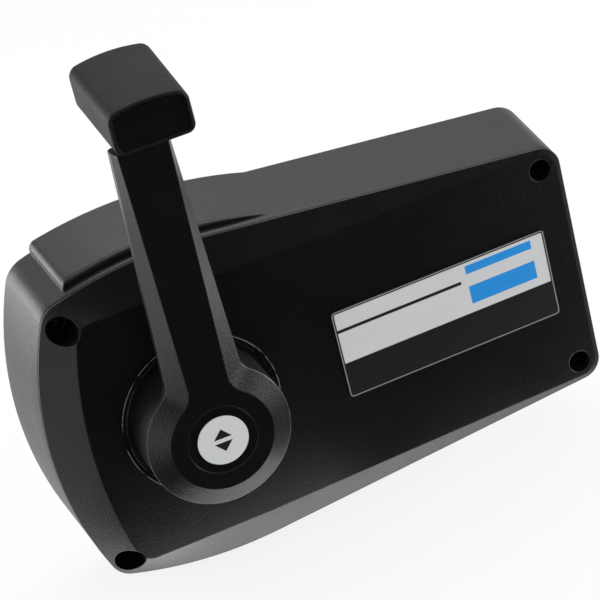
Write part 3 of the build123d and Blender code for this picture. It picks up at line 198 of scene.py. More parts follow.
class Finish:
    """A procedural material, written as expressions on object coordinates."""

    def __init__(self, name):
        self.material = bpy.data.materials.new(name)
        self.material.use_nodes = True
        self.tree = self.material.node_tree
        self.tree.nodes.clear()
        self.place = self.node("ShaderNodeTexCoord", output="Object")

    def node(self, kind, settings=None, inputs=None, output=0):
        """A node with its settings made first, then its values or links."""
        made = self.tree.nodes.new(kind)
        for name, value in (settings or {}).items():
            if name == "stops":
                self.fill_ramp(made.color_ramp, value)
            else:
                setattr(made, name, value)
        for name, value in (inputs or {}).items():
            if isinstance(value, Wire):
                self.tree.links.new(value.socket, made.inputs[name])
            else:
                made.inputs[name].default_value = value
        return Wire(self, made.outputs[output]) if len(made.outputs) else None

    @staticmethod
    def fill_ramp(ramp, stops):
        while len(ramp.elements) < len(stops):
            ramp.elements.new(0.5)
        for element, (position, grey) in zip(ramp.elements, stops):
            element.position = position
            element.color = (grey, grey, grey, 1)

    def axis(self, index):
        """X, Y or Z of the place, in metres."""
        return self.node("ShaderNodeSeparateXYZ", inputs={0: self.place}, output=index)

    def noise(self, size, detail=2.0, stretch=(1, 1, 1)):
        """Noise whose patches are about this wide, in metres."""
        point = self.node("ShaderNodeVectorMath", {"operation": "MULTIPLY"}, {0: self.place, 1: stretch})
        return self.node(
            "ShaderNodeTexNoise", inputs={"Vector": point, "Scale": 1 / size, "Detail": detail}, output=0)

    def mix(self, share, first, second):
        """Blend of two colours."""
        inputs = {0: share, 6: self.colour(first), 7: self.colour(second)}
        return self.node("ShaderNodeMix", {"data_type": "RGBA"}, inputs, output=2)

    @staticmethod
    def colour(value):
        return value if isinstance(value, Wire) else (*value[:3], 1)

    def relief(self, height, depth, edge=0.0, strength=1.0):
        """Bumped normal, on edges softened to a radius."""
        inputs = {"Height": height, "Distance": depth, "Strength": strength}
        if edge:
            inputs["Normal"] = self.node("ShaderNodeBevel", {"samples": 6}, {"Radius": edge})
        return self.node("ShaderNodeBump", inputs=inputs)

    def surface(self, colour, rough, normal=None, **fixed):
        """Principled surface; fixed values go on the shader's own sockets."""
        inputs = {"Base Color": self.colour(colour), "Roughness": rough}
        if normal is not None:
            inputs["Normal"] = normal
        inputs.update({name.replace("_", " ").title().replace("Ior", "IOR"): v for name, v in fixed.items()})
        shader = self.node("ShaderNodeBsdfPrincipled", inputs=inputs)
        self.node("ShaderNodeOutputMaterial", inputs={"Surface": shader})
        return self.material


def moulded(name, base, grain, edge, rough=0.5, depth=0.00011, patch=0.02, **fixed):
    """Moulded plastic or powder coat: fine grain, and gloss that varies over broad patches."""
    look = Finish(name)
    height = look.noise(grain, detail=3)
    broad = look.noise(patch, detail=2)
    dust = look.noise(grain * 3, detail=4)
    colour = look.mix(dust.maths("MULTIPLY", 0.35), base, [c * 1.7 for c in base])
    return look.surface(colour, rough + (broad - 0.5) * 0.12 + (height - 0.5) * 0.1,
                        look.relief(height, depth, edge), **fixed)


def metal(name, base, rough=0.35, brush=(1, 1, 1), edge=0.0002, depth=0.000006):
    """Bare or plated metal with fine tool marks along the brush direction."""
    look = Finish(name)
    marks = look.noise(0.0006, detail=3, stretch=brush)
    stains = look.noise(0.008, detail=3)
    colour = look.mix(stains, [c * 0.86 for c in base], base)
    return look.surface(colour, rough + (marks - 0.5) * 0.2 + (stains - 0.5) * 0.1,
                        look.relief(marks, depth, edge), metallic=1.0)


def dress(material, *nodes):
    """Puts one material on CAD nodes."""
    for name in nodes:
        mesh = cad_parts[name].data
        mesh.materials.clear()
        mesh.materials.append(material)


def settle(made, body, slot, *replaced):
    """Rides a finished piece on its body and hides the CAD nodes that it replaces."""
    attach(made, body)
    if replaced:
        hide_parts(*replaced)
    return made


# ---------------------------------------------------------------- meshes

def plain_mesh(name, points, faces):
    """Object with its place in its mesh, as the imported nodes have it."""
    mesh = bpy.data.meshes.new(name)
    mesh.from_pydata([tuple(p) for p in points], [], faces)
    mesh.update()
    made = bpy.data.objects.new(name, mesh)
    bpy.context.scene.collection.objects.link(made)
    return made


def skin(name, rings, smooth=True):
    """Closed surface through rings of equal count, with both ends filled."""
    count = len(rings[0])
    points = [point for ring in rings for point in ring]
    faces = []
    for row in range(len(rings) - 1):
        for step in range(count):
            a = row * count + step
            b = row * count + (step + 1) % count
            faces.append((a, b, b + count, a + count))
    faces.append(tuple(reversed(range(count))))
    faces.append(tuple(range((len(rings) - 1) * count, len(rings) * count)))
    made = plain_mesh(name, points, faces)
    face_outward(made.data)
    if smooth:
        for polygon in made.data.polygons:
            polygon.use_smooth = len(polygon.vertices) == 4
    return made


def face_outward(mesh):
    """Recalculates the faces' direction on a closed mesh."""
    work = bmesh.new()
    work.from_mesh(mesh)
    bmesh.ops.recalc_face_normals(work, faces=work.faces)
    work.to_mesh(mesh)
    work.free()


def settled_mesh(source, name):
    """Plain mesh object of what the source's modifiers make; the source is removed."""
    bpy.context.view_layer.update()
    evaluated = source.evaluated_get(bpy.context.evaluated_depsgraph_get())
    mesh = bpy.data.meshes.new_from_object(evaluated)
    mesh.name = name
    bpy.data.objects.remove(source)
    made = bpy.data.objects.new(name, mesh)
    bpy.context.scene.collection.objects.link(made)
    return made


def merged_copy(node, name):
    """Copy of a CAD node's mesh with its loose triangles joined."""
    mesh = bpy.data.meshes.new(name)
    work = bmesh.new()
    work.from_mesh(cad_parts[node].data)
    bmesh.ops.remove_doubles(work, verts=work.verts, dist=1e-6)
    work.to_mesh(mesh)
    work.free()
    made = bpy.data.objects.new(name, mesh)
    bpy.context.scene.collection.objects.link(made)
    return made


def soften(made, sharp):
    """Smooth shading, apart from edges sharper than an angle."""
    for polygon in made.data.polygons:
        polygon.use_smooth = True
    made.data.set_sharp_from_angle(angle=sharp)


def joined(base, name, steps):
    """Adds or cuts away closed bodies in order; the bodies are removed."""
    for operation, body in steps:
        modifier = base.modifiers.new(operation, "BOOLEAN")
        modifier.operation = operation
        modifier.solver = "EXACT"
        modifier.object = body
    made = settled_mesh(base, name)
    for operation, body in steps:
        bpy.data.objects.remove(body)
    return made


def grown(source, tree, name, values):
    """Runs a node tree on an object and keeps the result as a plain mesh."""
    modifier = source.modifiers.new("grow", "NODES")
    modifier.node_group = tree
    sockets = {item.name: item.identifier for item in tree.interface.items_tree if item.item_type == "SOCKET"}
    for label, value in values.items():
        modifier[sockets[label]] = value
    return settled_mesh(source, name)


class Tree:
    """A geometry node tree with named inputs."""

    def __init__(self, name, inputs):
        self.tree = bpy.data.node_groups.new(name, "GeometryNodeTree")
        face = self.tree.interface
        face.new_socket("Geometry", in_out="INPUT", socket_type="NodeSocketGeometry")
        for label, (kind, default) in inputs.items():
            socket = face.new_socket(label, in_out="INPUT", socket_type=kind)
            if default is not None:
                socket.default_value = default
        face.new_socket("Geometry", in_out="OUTPUT", socket_type="NodeSocketGeometry")
        self.entry = self.tree.nodes.new("NodeGroupInput")

    def given(self, label):
        return self.entry.outputs[label]

    def node(self, kind, settings=None, inputs=None, output=0):
        """A node with its settings, and values or links on its inputs."""
        made = self.tree.nodes.new(kind)
        for name, value in (settings or {}).items():
            setattr(made, name, value)
        for name, value in (inputs or {}).items():
            if isinstance(value, bpy.types.NodeSocket):
                self.tree.links.new(value, made.inputs[name])
            else:
                made.inputs[name].default_value = value
        return made.outputs[output]

    def finish(self, geometry, material):
        """Ends the tree in Realize Instances and Set Material."""
        real = self.node("GeometryNodeRealizeInstances", inputs={"Geometry": geometry})
        dressed = self.node("GeometryNodeSetMaterial", inputs={"Geometry": real, "Material": material})
        leave = self.tree.nodes.new("NodeGroupOutput")
        self.tree.links.new(dressed, leave.inputs["Geometry"])
        return self.tree


def coil_tree(material):
    """Compression spring along Z: a wire swept on a helix."""
    tree = Tree("Spring", {
        "Sides": ("NodeSocketInt", 28), "Turns": ("NodeSocketFloat", 4.0), "Radius": ("NodeSocketFloat", 0.008),
        "Length": ("NodeSocketFloat", 0.01), "Wire": ("NodeSocketFloat", 0.0006),
        "Start": ("NodeSocketVector", None), "Turn": ("NodeSocketVector", None)})
    helix = tree.node("GeometryNodeCurveSpiral", inputs={
        "Resolution": tree.given("Sides"), "Rotations": tree.given("Turns"), "Start Radius": tree.given("Radius"),
        "End Radius": tree.given("Radius"), "Height": tree.given("Length")})
    ring = tree.node("GeometryNodeCurvePrimitiveCircle", inputs={"Resolution": 12, "Radius": tree.given("Wire")})
    swept = tree.node("GeometryNodeCurveToMesh", inputs={
        "Curve": helix, "Profile Curve": ring, "Fill Caps": True})
    smooth = tree.node("GeometryNodeSetShadeSmooth", inputs={"Geometry": swept})
    placed = tree.node("GeometryNodeTransform", inputs={
        "Geometry": smooth, "Translation": tree.given("Start"), "Rotation": tree.given("Turn")})
    return tree.finish(placed, material)


def screw_tree(material):
    """One screw on every point, each turned about its own axis by a fixed random amount."""
    tree = Tree("Screws", {
        "Screw": ("NodeSocketObject", None), "Axis": ("NodeSocketVector", (0, 1, 0)), "Seed": ("NodeSocketInt", 3)})
    shape = tree.node("GeometryNodeObjectInfo", inputs={"Object": tree.given("Screw")}, output="Geometry")
    turn = tree.node(
        "FunctionNodeRandomValue", {"data_type": "FLOAT"}, {2: 0.0, 3: math.tau, "Seed": tree.given("Seed")}, 1)
    angles = tree.node(
        "ShaderNodeVectorMath", {"operation": "SCALE"}, {0: tree.given("Axis"), "Scale": turn})
    placed = tree.node("GeometryNodeInstanceOnPoints", inputs={
        "Points": tree.given("Geometry"), "Instance": shape, "Rotation": angles})
    return tree.finish(placed, material)


def cross(angle):
    """Share of the full radius that a cross recess has in one direction."""
    quarter = math.pi / 2
    off = abs((angle + quarter / 2) % quarter - quarter / 2)
    return 1.0 if off < 0.3 else 0.42


def turned(name, steps, direction, sides=48):
    """Screw turned about a direction; each step is along, radius and whether it has the cross's outline."""
    along = Vector(direction)
    side = along.orthogonal().normalized()
    other = along.cross(side)
    rings = []
    for distance, radius, crossed in steps:
        ring = []
        for number in range(sides):
            angle = math.tau * number / sides
            reach = radius * (cross(angle) if crossed else 1)
            ring.append(along * distance + side * (reach * math.cos(angle)) + other * (reach * math.sin(angle)))
        rings.append(ring)
    return skin(name, rings, smooth=False)


def spots_of(node):
    """Middles of the separate solids of a node, from its loose parts."""
    work = bmesh.new()
    work.from_mesh(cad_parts[node].data)
    bmesh.ops.remove_doubles(work, verts=work.verts, dist=1e-6)
    left, middles = set(work.verts), []
    while left:
        group, queue = [], [left.pop()]
        while queue:
            vertex = queue.pop()
            group.append(vertex.co.copy())
            for edge in vertex.link_edges:
                other = edge.other_vert(vertex)
                if other in left:
                    left.remove(other)
                    queue.append(other)
        low = Vector(min(p[i] for p in group) for i in range(3))
        high = Vector(max(p[i] for p in group) for i in range(3))
        middles.append((low, high))
    work.free()
    return middles


# ---------------------------------------------------------------- operators

class DressCase(bpy.types.Operator):
    """Moulded black finish for the cover and the port block, the trim ring, and the cable anchors"""
    bl_idname = "control_lever.dress_case"
    bl_label = "Dress case"

    RIM = 0.00035
    RIM_PLACES = (0.0006, 0.0026)
    # Grey of the painted highlight on the ring's two thin rims.
    RIM_HIGHLIGHT = (0.16, 0.16, 0.16)

    def execute(self, context):
        want = context.scene.lever_case
        black = moulded("case_plastic", want.black, want.grain, want.edge, rough=0.4, specular_ior_level=0.4)
        dress(black, "front_cover")
        self.dress_ring(want)
        filled = moulded("filled_nylon", (0.03, 0.03, 0.033), 0.0009, want.edge / 2, rough=0.6)
        dress(filled, "throttle_anchor", "shift_anchor", "throttle_anchor_cap", "shift_anchor_cap")
        return {"FINISHED"}

    def dress_ring(self, want):
        """Black ring whose two thin rims carry a painted highlight, shown in noise patches."""
        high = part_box("trim_ring")[1]
        look = Finish("ring_gloss")
        x, z = look.axis(0), look.axis(2)
        radius = (x * x + z * z).maths("SQRT")
        rims = sum(
            radius.step(high.x - inward, 0.0001) * (1 - radius.step(high.x - inward + self.RIM, 0.0001))
            for inward in self.RIM_PLACES)
        highlight_patches = look.noise(0.006, detail=2).step(0.46, 0.12)
        # Painted highlight: the thin rims are painted light grey where the noise patches allow.
        colour = look.mix(rims * highlight_patches, want.black, self.RIM_HIGHLIGHT)
        relief = look.relief(look.noise(0.002, detail=2), 0.000004, 0.0002)
        dress(look.surface(colour, 0.26 + highlight_patches * 0.04, relief), "trim_ring")


class PrintLabel(bpy.types.Operator):
    """Silver label with a dark foot band, a thin frame line and plain level bars"""
    bl_idname = "control_lever.print_label"
    bl_label = "Print label"

    SOFT = 0.0002
    CORNER = 0.0022
    BARS_START = 0.62
    BARS_END = 0.93
    BLUE_BARS = ((0.16, 0.5), (0.74, 0.9))
    DARK_LINE = (0.59, 0.65)
    LINE_END = 0.59

    def between(self, wire, low, high):
        """1 between two places, with soft borders."""
        return wire.step(low, self.SOFT) * (1 - wire.step(high, self.SOFT))

    def depth_inside(self, x, z, low, high):
        """Distance inward from the edge of a rounded rectangle."""
        middle, half = (low + high) / 2, (high - low) / 2
        past_x = abs(x - middle.x) - (half.x - self.CORNER)
        past_z = abs(z - middle.z) - (half.z - self.CORNER)
        out_x, out_z = past_x.maths("MAXIMUM", 0.0), past_z.maths("MAXIMUM", 0.0)
        round_part = (out_x * out_x + out_z * out_z).maths("SQRT")
        flat_part = past_x.maths("MAXIMUM", past_z).maths("MINIMUM", 0.0)
        return self.CORNER - (round_part + flat_part)

    def execute(self, context):
        want = context.scene.lever_label
        low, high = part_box("label_plate")
        look = Finish("label_print")
        x, z = look.axis(0), look.axis(2)
        depth = self.depth_inside(x, z, low, high)
        line = self.between(depth, want.margin, want.margin + want.line)
        field_edge = want.margin + want.line + want.gap
        band_top = low.z + want.band
        field = depth.step(field_edge, self.SOFT) * z.step(band_top, self.SOFT)
        width, height = high.x - low.x, high.z - want.margin - band_top
        dark = self.between(z, *[band_top + height * share for share in self.DARK_LINE])
        dark = dark * (1 - x.step(low.x + width * self.LINE_END, self.SOFT))
        across = self.between(x, low.x + width * self.BARS_START, low.x + width * self.BARS_END)
        blue = across * sum(
            self.between(z, *[band_top + height * share for share in bar]) for bar in self.BLUE_BARS)
        brushed = look.noise(0.0004, detail=2, stretch=(0.02, 1, 1))
        colour = look.mix(brushed, [c * 0.94 for c in want.silver], want.silver)
        colour = look.mix(dark, colour, want.ink)
        colour = look.mix(blue, colour, want.blue)
        colour = look.mix(field, want.ink, colour)
        colour = look.mix(line, colour, [0.45 * c for c in want.silver])
        relief = look.relief(look.noise(0.0006, detail=2), 0.000004, 0.0002)
        dress(look.surface(colour, 0.42 + (brushed - 0.5) * 0.1, relief), "label_plate")
        return {"FINISHED"}


class MakeHousing(bpy.types.Operator):
    """Moulded housing whose two side pads have rounded ends and rims"""
    bl_idname = "control_lever.make_housing"
    bl_label = "Make housing"

    PAD_FRONT = 42 * MM
    PAD_NOSE = Vector((-39 * MM, 70.5 * MM))
    PAD_CREST = Vector((5 * MM, 75.4 * MM))
    PAD_TAIL = Vector((55 * MM, 66.9 * MM))
    FLARE = 2.4 * MM
    END_ROUND = 4.2 * MM
    RIM_ROUND = 2.4 * MM
    RIM_FADE = (22 * MM, 50 * MM)
    MARGIN = 3 * MM
    STEPS = 8
    SHARP = math.radians(24)

    def crest(self):
        """Centre and radius of the arc along the top of a pad."""
        a, b, c = self.PAD_NOSE, self.PAD_CREST, self.PAD_TAIL
        twice = 2 * (a.x * (b.y - c.y) + b.x * (c.y - a.y) + c.x * (a.y - b.y))
        aa, bb, cc = a.length_squared, b.length_squared, c.length_squared
        centre = Vector(((aa * (b.y - c.y) + bb * (c.y - a.y) + cc * (a.y - b.y)) / twice,
                         (aa * (c.x - b.x) + bb * (a.x - c.x) + cc * (b.x - a.x)) / twice))
        return centre, (a - centre).length

    def end_cutter(self, side):
        """What the rounded nose end of a pad leaves off."""
        centre, radius = self.crest()
        reach = radius - self.END_ROUND
        x = self.PAD_NOSE.x + self.END_ROUND
        heart = Vector((x, centre.y + math.sqrt(reach**2 - (x - centre.x)**2)))
        last = math.atan2(heart.y - centre.y, heart.x - centre.x)
        section = []
        for step in range(self.STEPS + 1):
            angle = math.pi + (last - math.pi) * step / self.STEPS
            section.append(heart + Vector((math.cos(angle), math.sin(angle))) * self.END_ROUND)
        top = section[-1].y + self.MARGIN
        left = self.PAD_NOSE.x - self.MARGIN
        section += [Vector((section[-1].x, top)), Vector((left, top)), Vector((left, section[0].y))]
        rings = []
        for stand_off in (-MM, self.PAD_FRONT + MM):
            flare = self.FLARE * (1 - stand_off / self.PAD_FRONT)
            rings.append([(point.x - flare, -stand_off, side * (point.y + flare)) for point in section])
        return skin("end_cutter", rings, smooth=False)

    def rim_cutter(self, side):
        """What the rounded front rim of a pad leaves off; the round fades out towards the tail."""
        centre, radius = self.crest()
        rings = []
        start, end = self.PAD_NOSE.x - self.MARGIN, self.RIM_FADE[1]
        for number in range(25):
            x = start + (end - start) * number / 24
            fade = min(1, max(0.08, (end - x) / (end - self.RIM_FADE[0])))
            size = self.RIM_ROUND * fade
            up = Vector((x - centre.x, math.sqrt(radius**2 - (x - centre.x)**2))) / radius
            section = []
            for step in range(self.STEPS + 1):
                angle = math.pi / 2 * step / self.STEPS
                section.append((size * (math.cos(angle) - 1), self.PAD_FRONT + size * (math.sin(angle) - 1)))
            section += [(-size, self.PAD_FRONT + MM), (self.MARGIN, self.PAD_FRONT + MM),
                        (self.MARGIN, self.PAD_FRONT - size)]
            ring = []
            for out, stand_off in section:
                point = centre + up * (radius + out)
                ring.append((point.x, -stand_off, side * point.y))
            rings.append(ring)
        return skin("rim_cutter", rings, smooth=False)

    def execute(self, context):
        want = context.scene.lever_case
        body = merged_copy("rear_housing", "housing_body")
        housing = joined(body, "moulded_housing", [
            ("DIFFERENCE", cutter(side)) for side in (1, -1) for cutter in (self.end_cutter, self.rim_cutter)])
        soften(housing, self.SHARP)
        even = housing.modifiers.new("even_shading", "WEIGHTED_NORMAL")
        even.keep_sharp = True
        plastic = moulded("housing_plastic", want.black, want.grain, want.edge * 1.6, rough=0.4,
                          specular_ior_level=0.4)
        housing.data.materials.clear()
        housing.data.materials.append(plastic)
        settle(housing, "case", "housing_black", "rear_housing")
        return {"FINISHED"}


class FlushPorts(bpy.types.Operator):
    """Cable port block whose ports end level with the tail wall"""
    bl_idname = "control_lever.flush_ports"
    bl_label = "Flush ports"

    COLLAR = 3 * MM
    PROUD = 0.05 * MM

    def execute(self, context):
        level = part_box("port_block")[1].x - self.COLLAR + self.PROUD
        made = merged_copy("port_block", "port_block_flush")
        work = bmesh.new()
        work.from_mesh(made.data)
        everything = work.verts[:] + work.edges[:] + work.faces[:]
        bmesh.ops.bisect_plane(
            work, geom=everything, plane_co=(level, 0, 0), plane_no=(1, 0, 0), clear_outer=True)
        rims = [edge for edge in work.edges if edge.is_boundary]
        bmesh.ops.triangle_fill(work, use_beauty=True, edges=rims, normal=(1, 0, 0))
        work.to_mesh(made.data)
        work.free()
        face_outward(made.data)
        made.data.materials.append(bpy.data.materials["case_plastic"])
        settle(made, "case", "housing_black", "port_block")
        return {"FINISHED"}


class MakeLever(bpy.types.Operator):
    """Cast lever: a bevelled blade that meets its skirted hub in tight fillets, under powder coat"""
    bl_idname = "control_lever.make_lever"
    bl_label = "Make lever"

    BLADE_TOP = 133 * MM
    BLADE_THICK = 10 * MM
    BLADE_CORNER = 1.5 * MM
    BEVEL_DEPTH = 4.5 * MM
    OUTER = (17.2 * MM, 12.2 * MM, 8 * MM)      # half width at the shaft, half width at the top, fillet
    FACE_HUB = 21.9 * MM
    FACE = (8.0 * MM, 10.6 * MM, 11 * MM)
    SKIRT_STEP = 0.05 * MM
    HUB_WALL = 3 * MM
    HUB_ROOF = 9 * MM
    CORE = 18 * MM
    SHAFT = 7 * MM
    SOCKET = 67 * MM
    STEM = 3.6 * MM
    BORE_FLOOR = 69 * MM
    BORE = 14.9 * MM
    SCREW_HOLE = 2.5 * MM
    SCREW_AT = 62 * MM
    TANG_HALF = 6 * MM
    TANG_HEIGHT = 9 * MM
    TANG_FLOOR = 5.5 * MM
    TANG_INSET = 1.5 * MM
    TANG_BACK = 46 * MM
    LINE_STEPS = 6
    FILLET_STEPS = 10
    HUB_STEPS = 40
    SHARP = math.radians(22)

    def outline(self, stand_off, hub, half_low, half_top, fillet, inset=0.0):
        """Ring of points: hub circle with the blade rising from it, moved inward by inset."""
        hub, fillet = hub - inset, fillet + inset
        low = Vector((half_low - inset, 0.0))
        high = Vector((half_top - inset, self.BLADE_TOP))
        along = (high - low).normalized()
        outward = Vector((along.y, -along.x))
        reach_out = low.dot(outward) + fillet
        reach_up = math.sqrt((hub + fillet)**2 - reach_out**2) - low.dot(along)
        foot = low + along * reach_up
        centre = foot + outward * fillet
        right = [high.lerp(foot, step / self.LINE_STEPS) for step in range(self.LINE_STEPS)]
        first = math.atan2(foot.y - centre.y, foot.x - centre.x)
        last = math.atan2(-centre.y, -centre.x)
        swing = (last - first + math.pi) % math.tau - math.pi
        for step in range(self.FILLET_STEPS):
            angle = first + swing * step / self.FILLET_STEPS
            right.append(centre + Vector((math.cos(angle), math.sin(angle))) * fillet)
        start = math.atan2(centre.y, centre.x)
        for step in range(self.HUB_STEPS + 1):
            angle = start + (-math.pi / 2 - start) * step / self.HUB_STEPS
            right.append(Vector((math.cos(angle), math.sin(angle))) * hub)
        left = [Vector((-point.x, point.y)) for point in reversed(right[:-1])]
        return [(point.x, -stand_off, point.y) for point in right + left]

    def rod(self, start, end, radius):
        """Round body about the shaft's axis."""
        return turned("rod", [(start, radius, False), (end, radius, False)], (0, -1, 0), sides=96)

    def tang(self, front):
        """Tongue that carries the grip above the blade."""
        back = front - self.BLADE_THICK
        foot = self.BLADE_TOP + self.TANG_FLOOR
        side = [(front - self.TANG_INSET, self.BLADE_TOP - self.TANG_HEIGHT),
                (front - self.TANG_INSET, foot + self.TANG_HEIGHT), (self.TANG_BACK, foot + self.TANG_HEIGHT),
                (self.TANG_BACK, foot), (back + self.TANG_INSET, foot),
                (back + self.TANG_INSET, self.BLADE_TOP - self.TANG_HEIGHT)]
        rings = [[(x, -stand_off, z) for stand_off, z in side] for x in (-self.TANG_HALF, self.TANG_HALF)]
        return skin("tang", rings, smooth=False)

    def screw_hole(self, hub):
        hole = turned("hole", [(self.SHAFT, self.SCREW_HOLE, False), (hub + MM, self.SCREW_HOLE, False)], (0, 0, -1))
        hole.data.transform(Matrix.Translation((0, -self.SCREW_AT, 0)))
        return hole

    def execute(self, context):
        want = context.scene.lever_case
        low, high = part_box("lever_arm")
        front, back, hub = -low.y, -high.y, -low.z
        blade_back, foot = front - self.BLADE_THICK, front - self.BEVEL_DEPTH
        blade = skin("blade", [
            self.outline(blade_back, hub, *self.OUTER, self.BLADE_CORNER),
            self.outline(blade_back + self.BLADE_CORNER, hub, *self.OUTER),
            self.outline(foot, hub, *self.OUTER),
            self.outline(front, self.FACE_HUB, *self.FACE)], smooth=False)
        roof = front - self.HUB_ROOF
        lever = joined(blade, "cast_lever", [
            ("UNION", self.rod(back, foot - self.BLADE_CORNER, hub - self.SKIRT_STEP)),
            ("UNION", self.tang(front)),
            ("DIFFERENCE", self.rod(back - MM, roof, hub - self.HUB_WALL)),
            ("UNION", self.rod(back, roof + MM, self.CORE)),
            ("DIFFERENCE", self.rod(back - MM, self.SOCKET, self.SHAFT)),
            ("DIFFERENCE", self.rod(self.SOCKET - MM, self.BORE_FLOOR + MM, self.STEM)),
            ("DIFFERENCE", self.rod(self.BORE_FLOOR, front + MM, self.BORE)),
            ("DIFFERENCE", self.screw_hole(hub))])
        soften(lever, self.SHARP)
        coat = moulded("powder_coat", want.black, want.grain * 0.8, want.edge, rough=0.38,
                       specular_ior_level=0.8)
        lever.data.materials.clear()
        lever.data.materials.append(coat)
        settle(lever, "lever", "lever_black", "lever_arm")
        return {"FINISHED"}


class MakeKnob(bpy.types.Operator):
    """Soft grip across the top of the blade, with its recessed front panel"""
    bl_idname = "control_lever.make_knob"
    bl_label = "Make knob"

    CORNER = 0.0038
    CROWN = 0.0022
    BACK_LIFT = 0.0035
    BACK_GROWTH = 0.0015
    BACK_DROP = 0.001
    BACK_ROUND = 0.0034
    FRONT_ROUND = 0.0013
    RIM_TURNS = 7
    CORNER_STEPS = 8
    CROWN_STEPS = 10
    BODY_STEPS = 12

    def section(self, stand_off, inset, box):
        """One rounded section of the grip, seen from the front, moved inward by inset."""
        low, high = box
        share = (-low.y - stand_off) / (high.y - low.y)
        middle = (low.x + high.x) / 2
        half = (high.x - low.x) / 2 - self.BACK_GROWTH / 2 * (1 - share) - inset
        foot = low.z + self.BACK_LIFT * share + inset
        top = foot + (high.z - low.z) - self.BACK_LIFT - (self.BACK_DROP - self.CROWN_LOSS) * share
        top -= 2 * inset
        return self.outline(middle, half, foot, top, max(self.CORNER - inset, 0.0004), stand_off)

    CROWN_LOSS = 0.001

    def outline(self, middle, half, foot, top, corner, stand_off):
        """Rounded rectangle whose top edge is crowned."""
        points = []
        shoulder = top - self.CROWN
        centres = [(half - corner, foot + corner, -90), (half - corner, shoulder - corner, 0),
                   (corner - half, shoulder - corner, 90), (corner - half, foot + corner, 180)]
        for number, (x, z, start) in enumerate(centres):
            for step in range(self.CORNER_STEPS + 1):
                angle = math.radians(start + 90 * step / self.CORNER_STEPS)
                px, pz = x + corner * math.cos(angle), z + corner * math.sin(angle)
                if number in (1, 2):
                    pz += self.lift(px, half) * (math.sin(angle) if angle < math.pi else 0)
                points.append((middle + px, -stand_off, pz))
            if number == 1:
                for step in range(1, self.CROWN_STEPS):
                    px = (half - corner) * (1 - 2 * step / self.CROWN_STEPS)
                    points.append((middle + px, -stand_off, shoulder + self.lift(px, half)))
        return points

    def lift(self, x, half):
        return self.CROWN * (1 - (x / half)**2)

    def execute(self, context):
        want = context.scene.lever_case
        low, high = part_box("knob")
        back, front = -high.y, -low.y
        rings = []
        for step in range(self.RIM_TURNS + 1):
            turn = math.radians(90 * step / self.RIM_TURNS)
            rings.append((back + self.BACK_ROUND * (1 - math.cos(turn)), self.BACK_ROUND * (1 - math.sin(turn))))
        start, end = back + self.BACK_ROUND, front - self.FRONT_ROUND
        for step in range(1, self.BODY_STEPS):
            rings.append((start + (end - start) * step / self.BODY_STEPS, 0))
        for step in range(self.RIM_TURNS + 1):
            turn = math.radians(90 * step / self.RIM_TURNS)
            rings.append((front - self.FRONT_ROUND * (1 - math.sin(turn)), self.FRONT_ROUND * (1 - math.cos(turn))))
        outer = [self.section(stand_off, inset, (low, high)) for stand_off, inset in rings]
        panel_low, panel_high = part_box("knob_panel")
        middle = (panel_low.x + panel_high.x) / 2
        reach = (panel_high.x - panel_low.x) / 2
        floor = -panel_low.y - 0.0006
        for stand_off, grow in [(front, 0.0002), (front - 0.0004, 0), (floor, 0)]:
            outer.append(self.outline(
                middle, reach + grow, panel_low.z - grow, panel_high.z + grow + self.CROWN / 2, 0.0024, stand_off))
        grip = skin("knob_grip", outer)
        soft = moulded("soft_grip", (0.005, 0.005, 0.0053), 0.0013, 0.0, rough=0.6, depth=0.0002,
                       specular_ior_level=0.2)
        grip.data.materials.append(soft)
        settle(grip, "lever", "grip_black", "knob")
        dress(moulded("knob_panel_black", want.black, want.grain, 0.0004, rough=0.4), "knob_panel")
        return {"FINISHED"}


class DressButton(bpy.types.Operator):
    """Satin warm-up button whose brushed disc has a plain arrow up and down"""
    bl_idname = "control_lever.dress_button"
    bl_label = "Dress button"

    ARROW_FOOT = 0.0009
    ARROW_TIP = 0.0052
    ARROW_SLOPE = 1.1
    MARK = (0.012, 0.012, 0.013)

    def execute(self, context):
        want = context.scene.lever_case
        dress(moulded("button_plastic", want.black, want.grain, 0.0004, rough=0.36), "button_cap")
        disc = Finish("disc_print")
        marks = disc.noise(0.0004, detail=2, stretch=(0.03, 1, 1))
        speck = disc.noise(0.0007, detail=3)
        colour = disc.mix(speck, (0.5, 0.51, 0.52), (0.6, 0.61, 0.62))
        low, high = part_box("button_badge")
        middle = (low + high) / 2
        across, up = abs(disc.axis(0) - middle.x), abs(disc.axis(2) - middle.z)
        arrow = up.step(self.ARROW_FOOT, 0.0002) * (1 - (across * self.ARROW_SLOPE + up).step(self.ARROW_TIP, 0.0003))
        colour = disc.mix(arrow, colour, self.MARK)
        finish = disc.surface(colour, 0.4 + (marks - 0.5) * 0.12, disc.relief(marks, 0.000004, 0.0003))
        dress(finish, "button_badge")
        return {"FINISHED"}


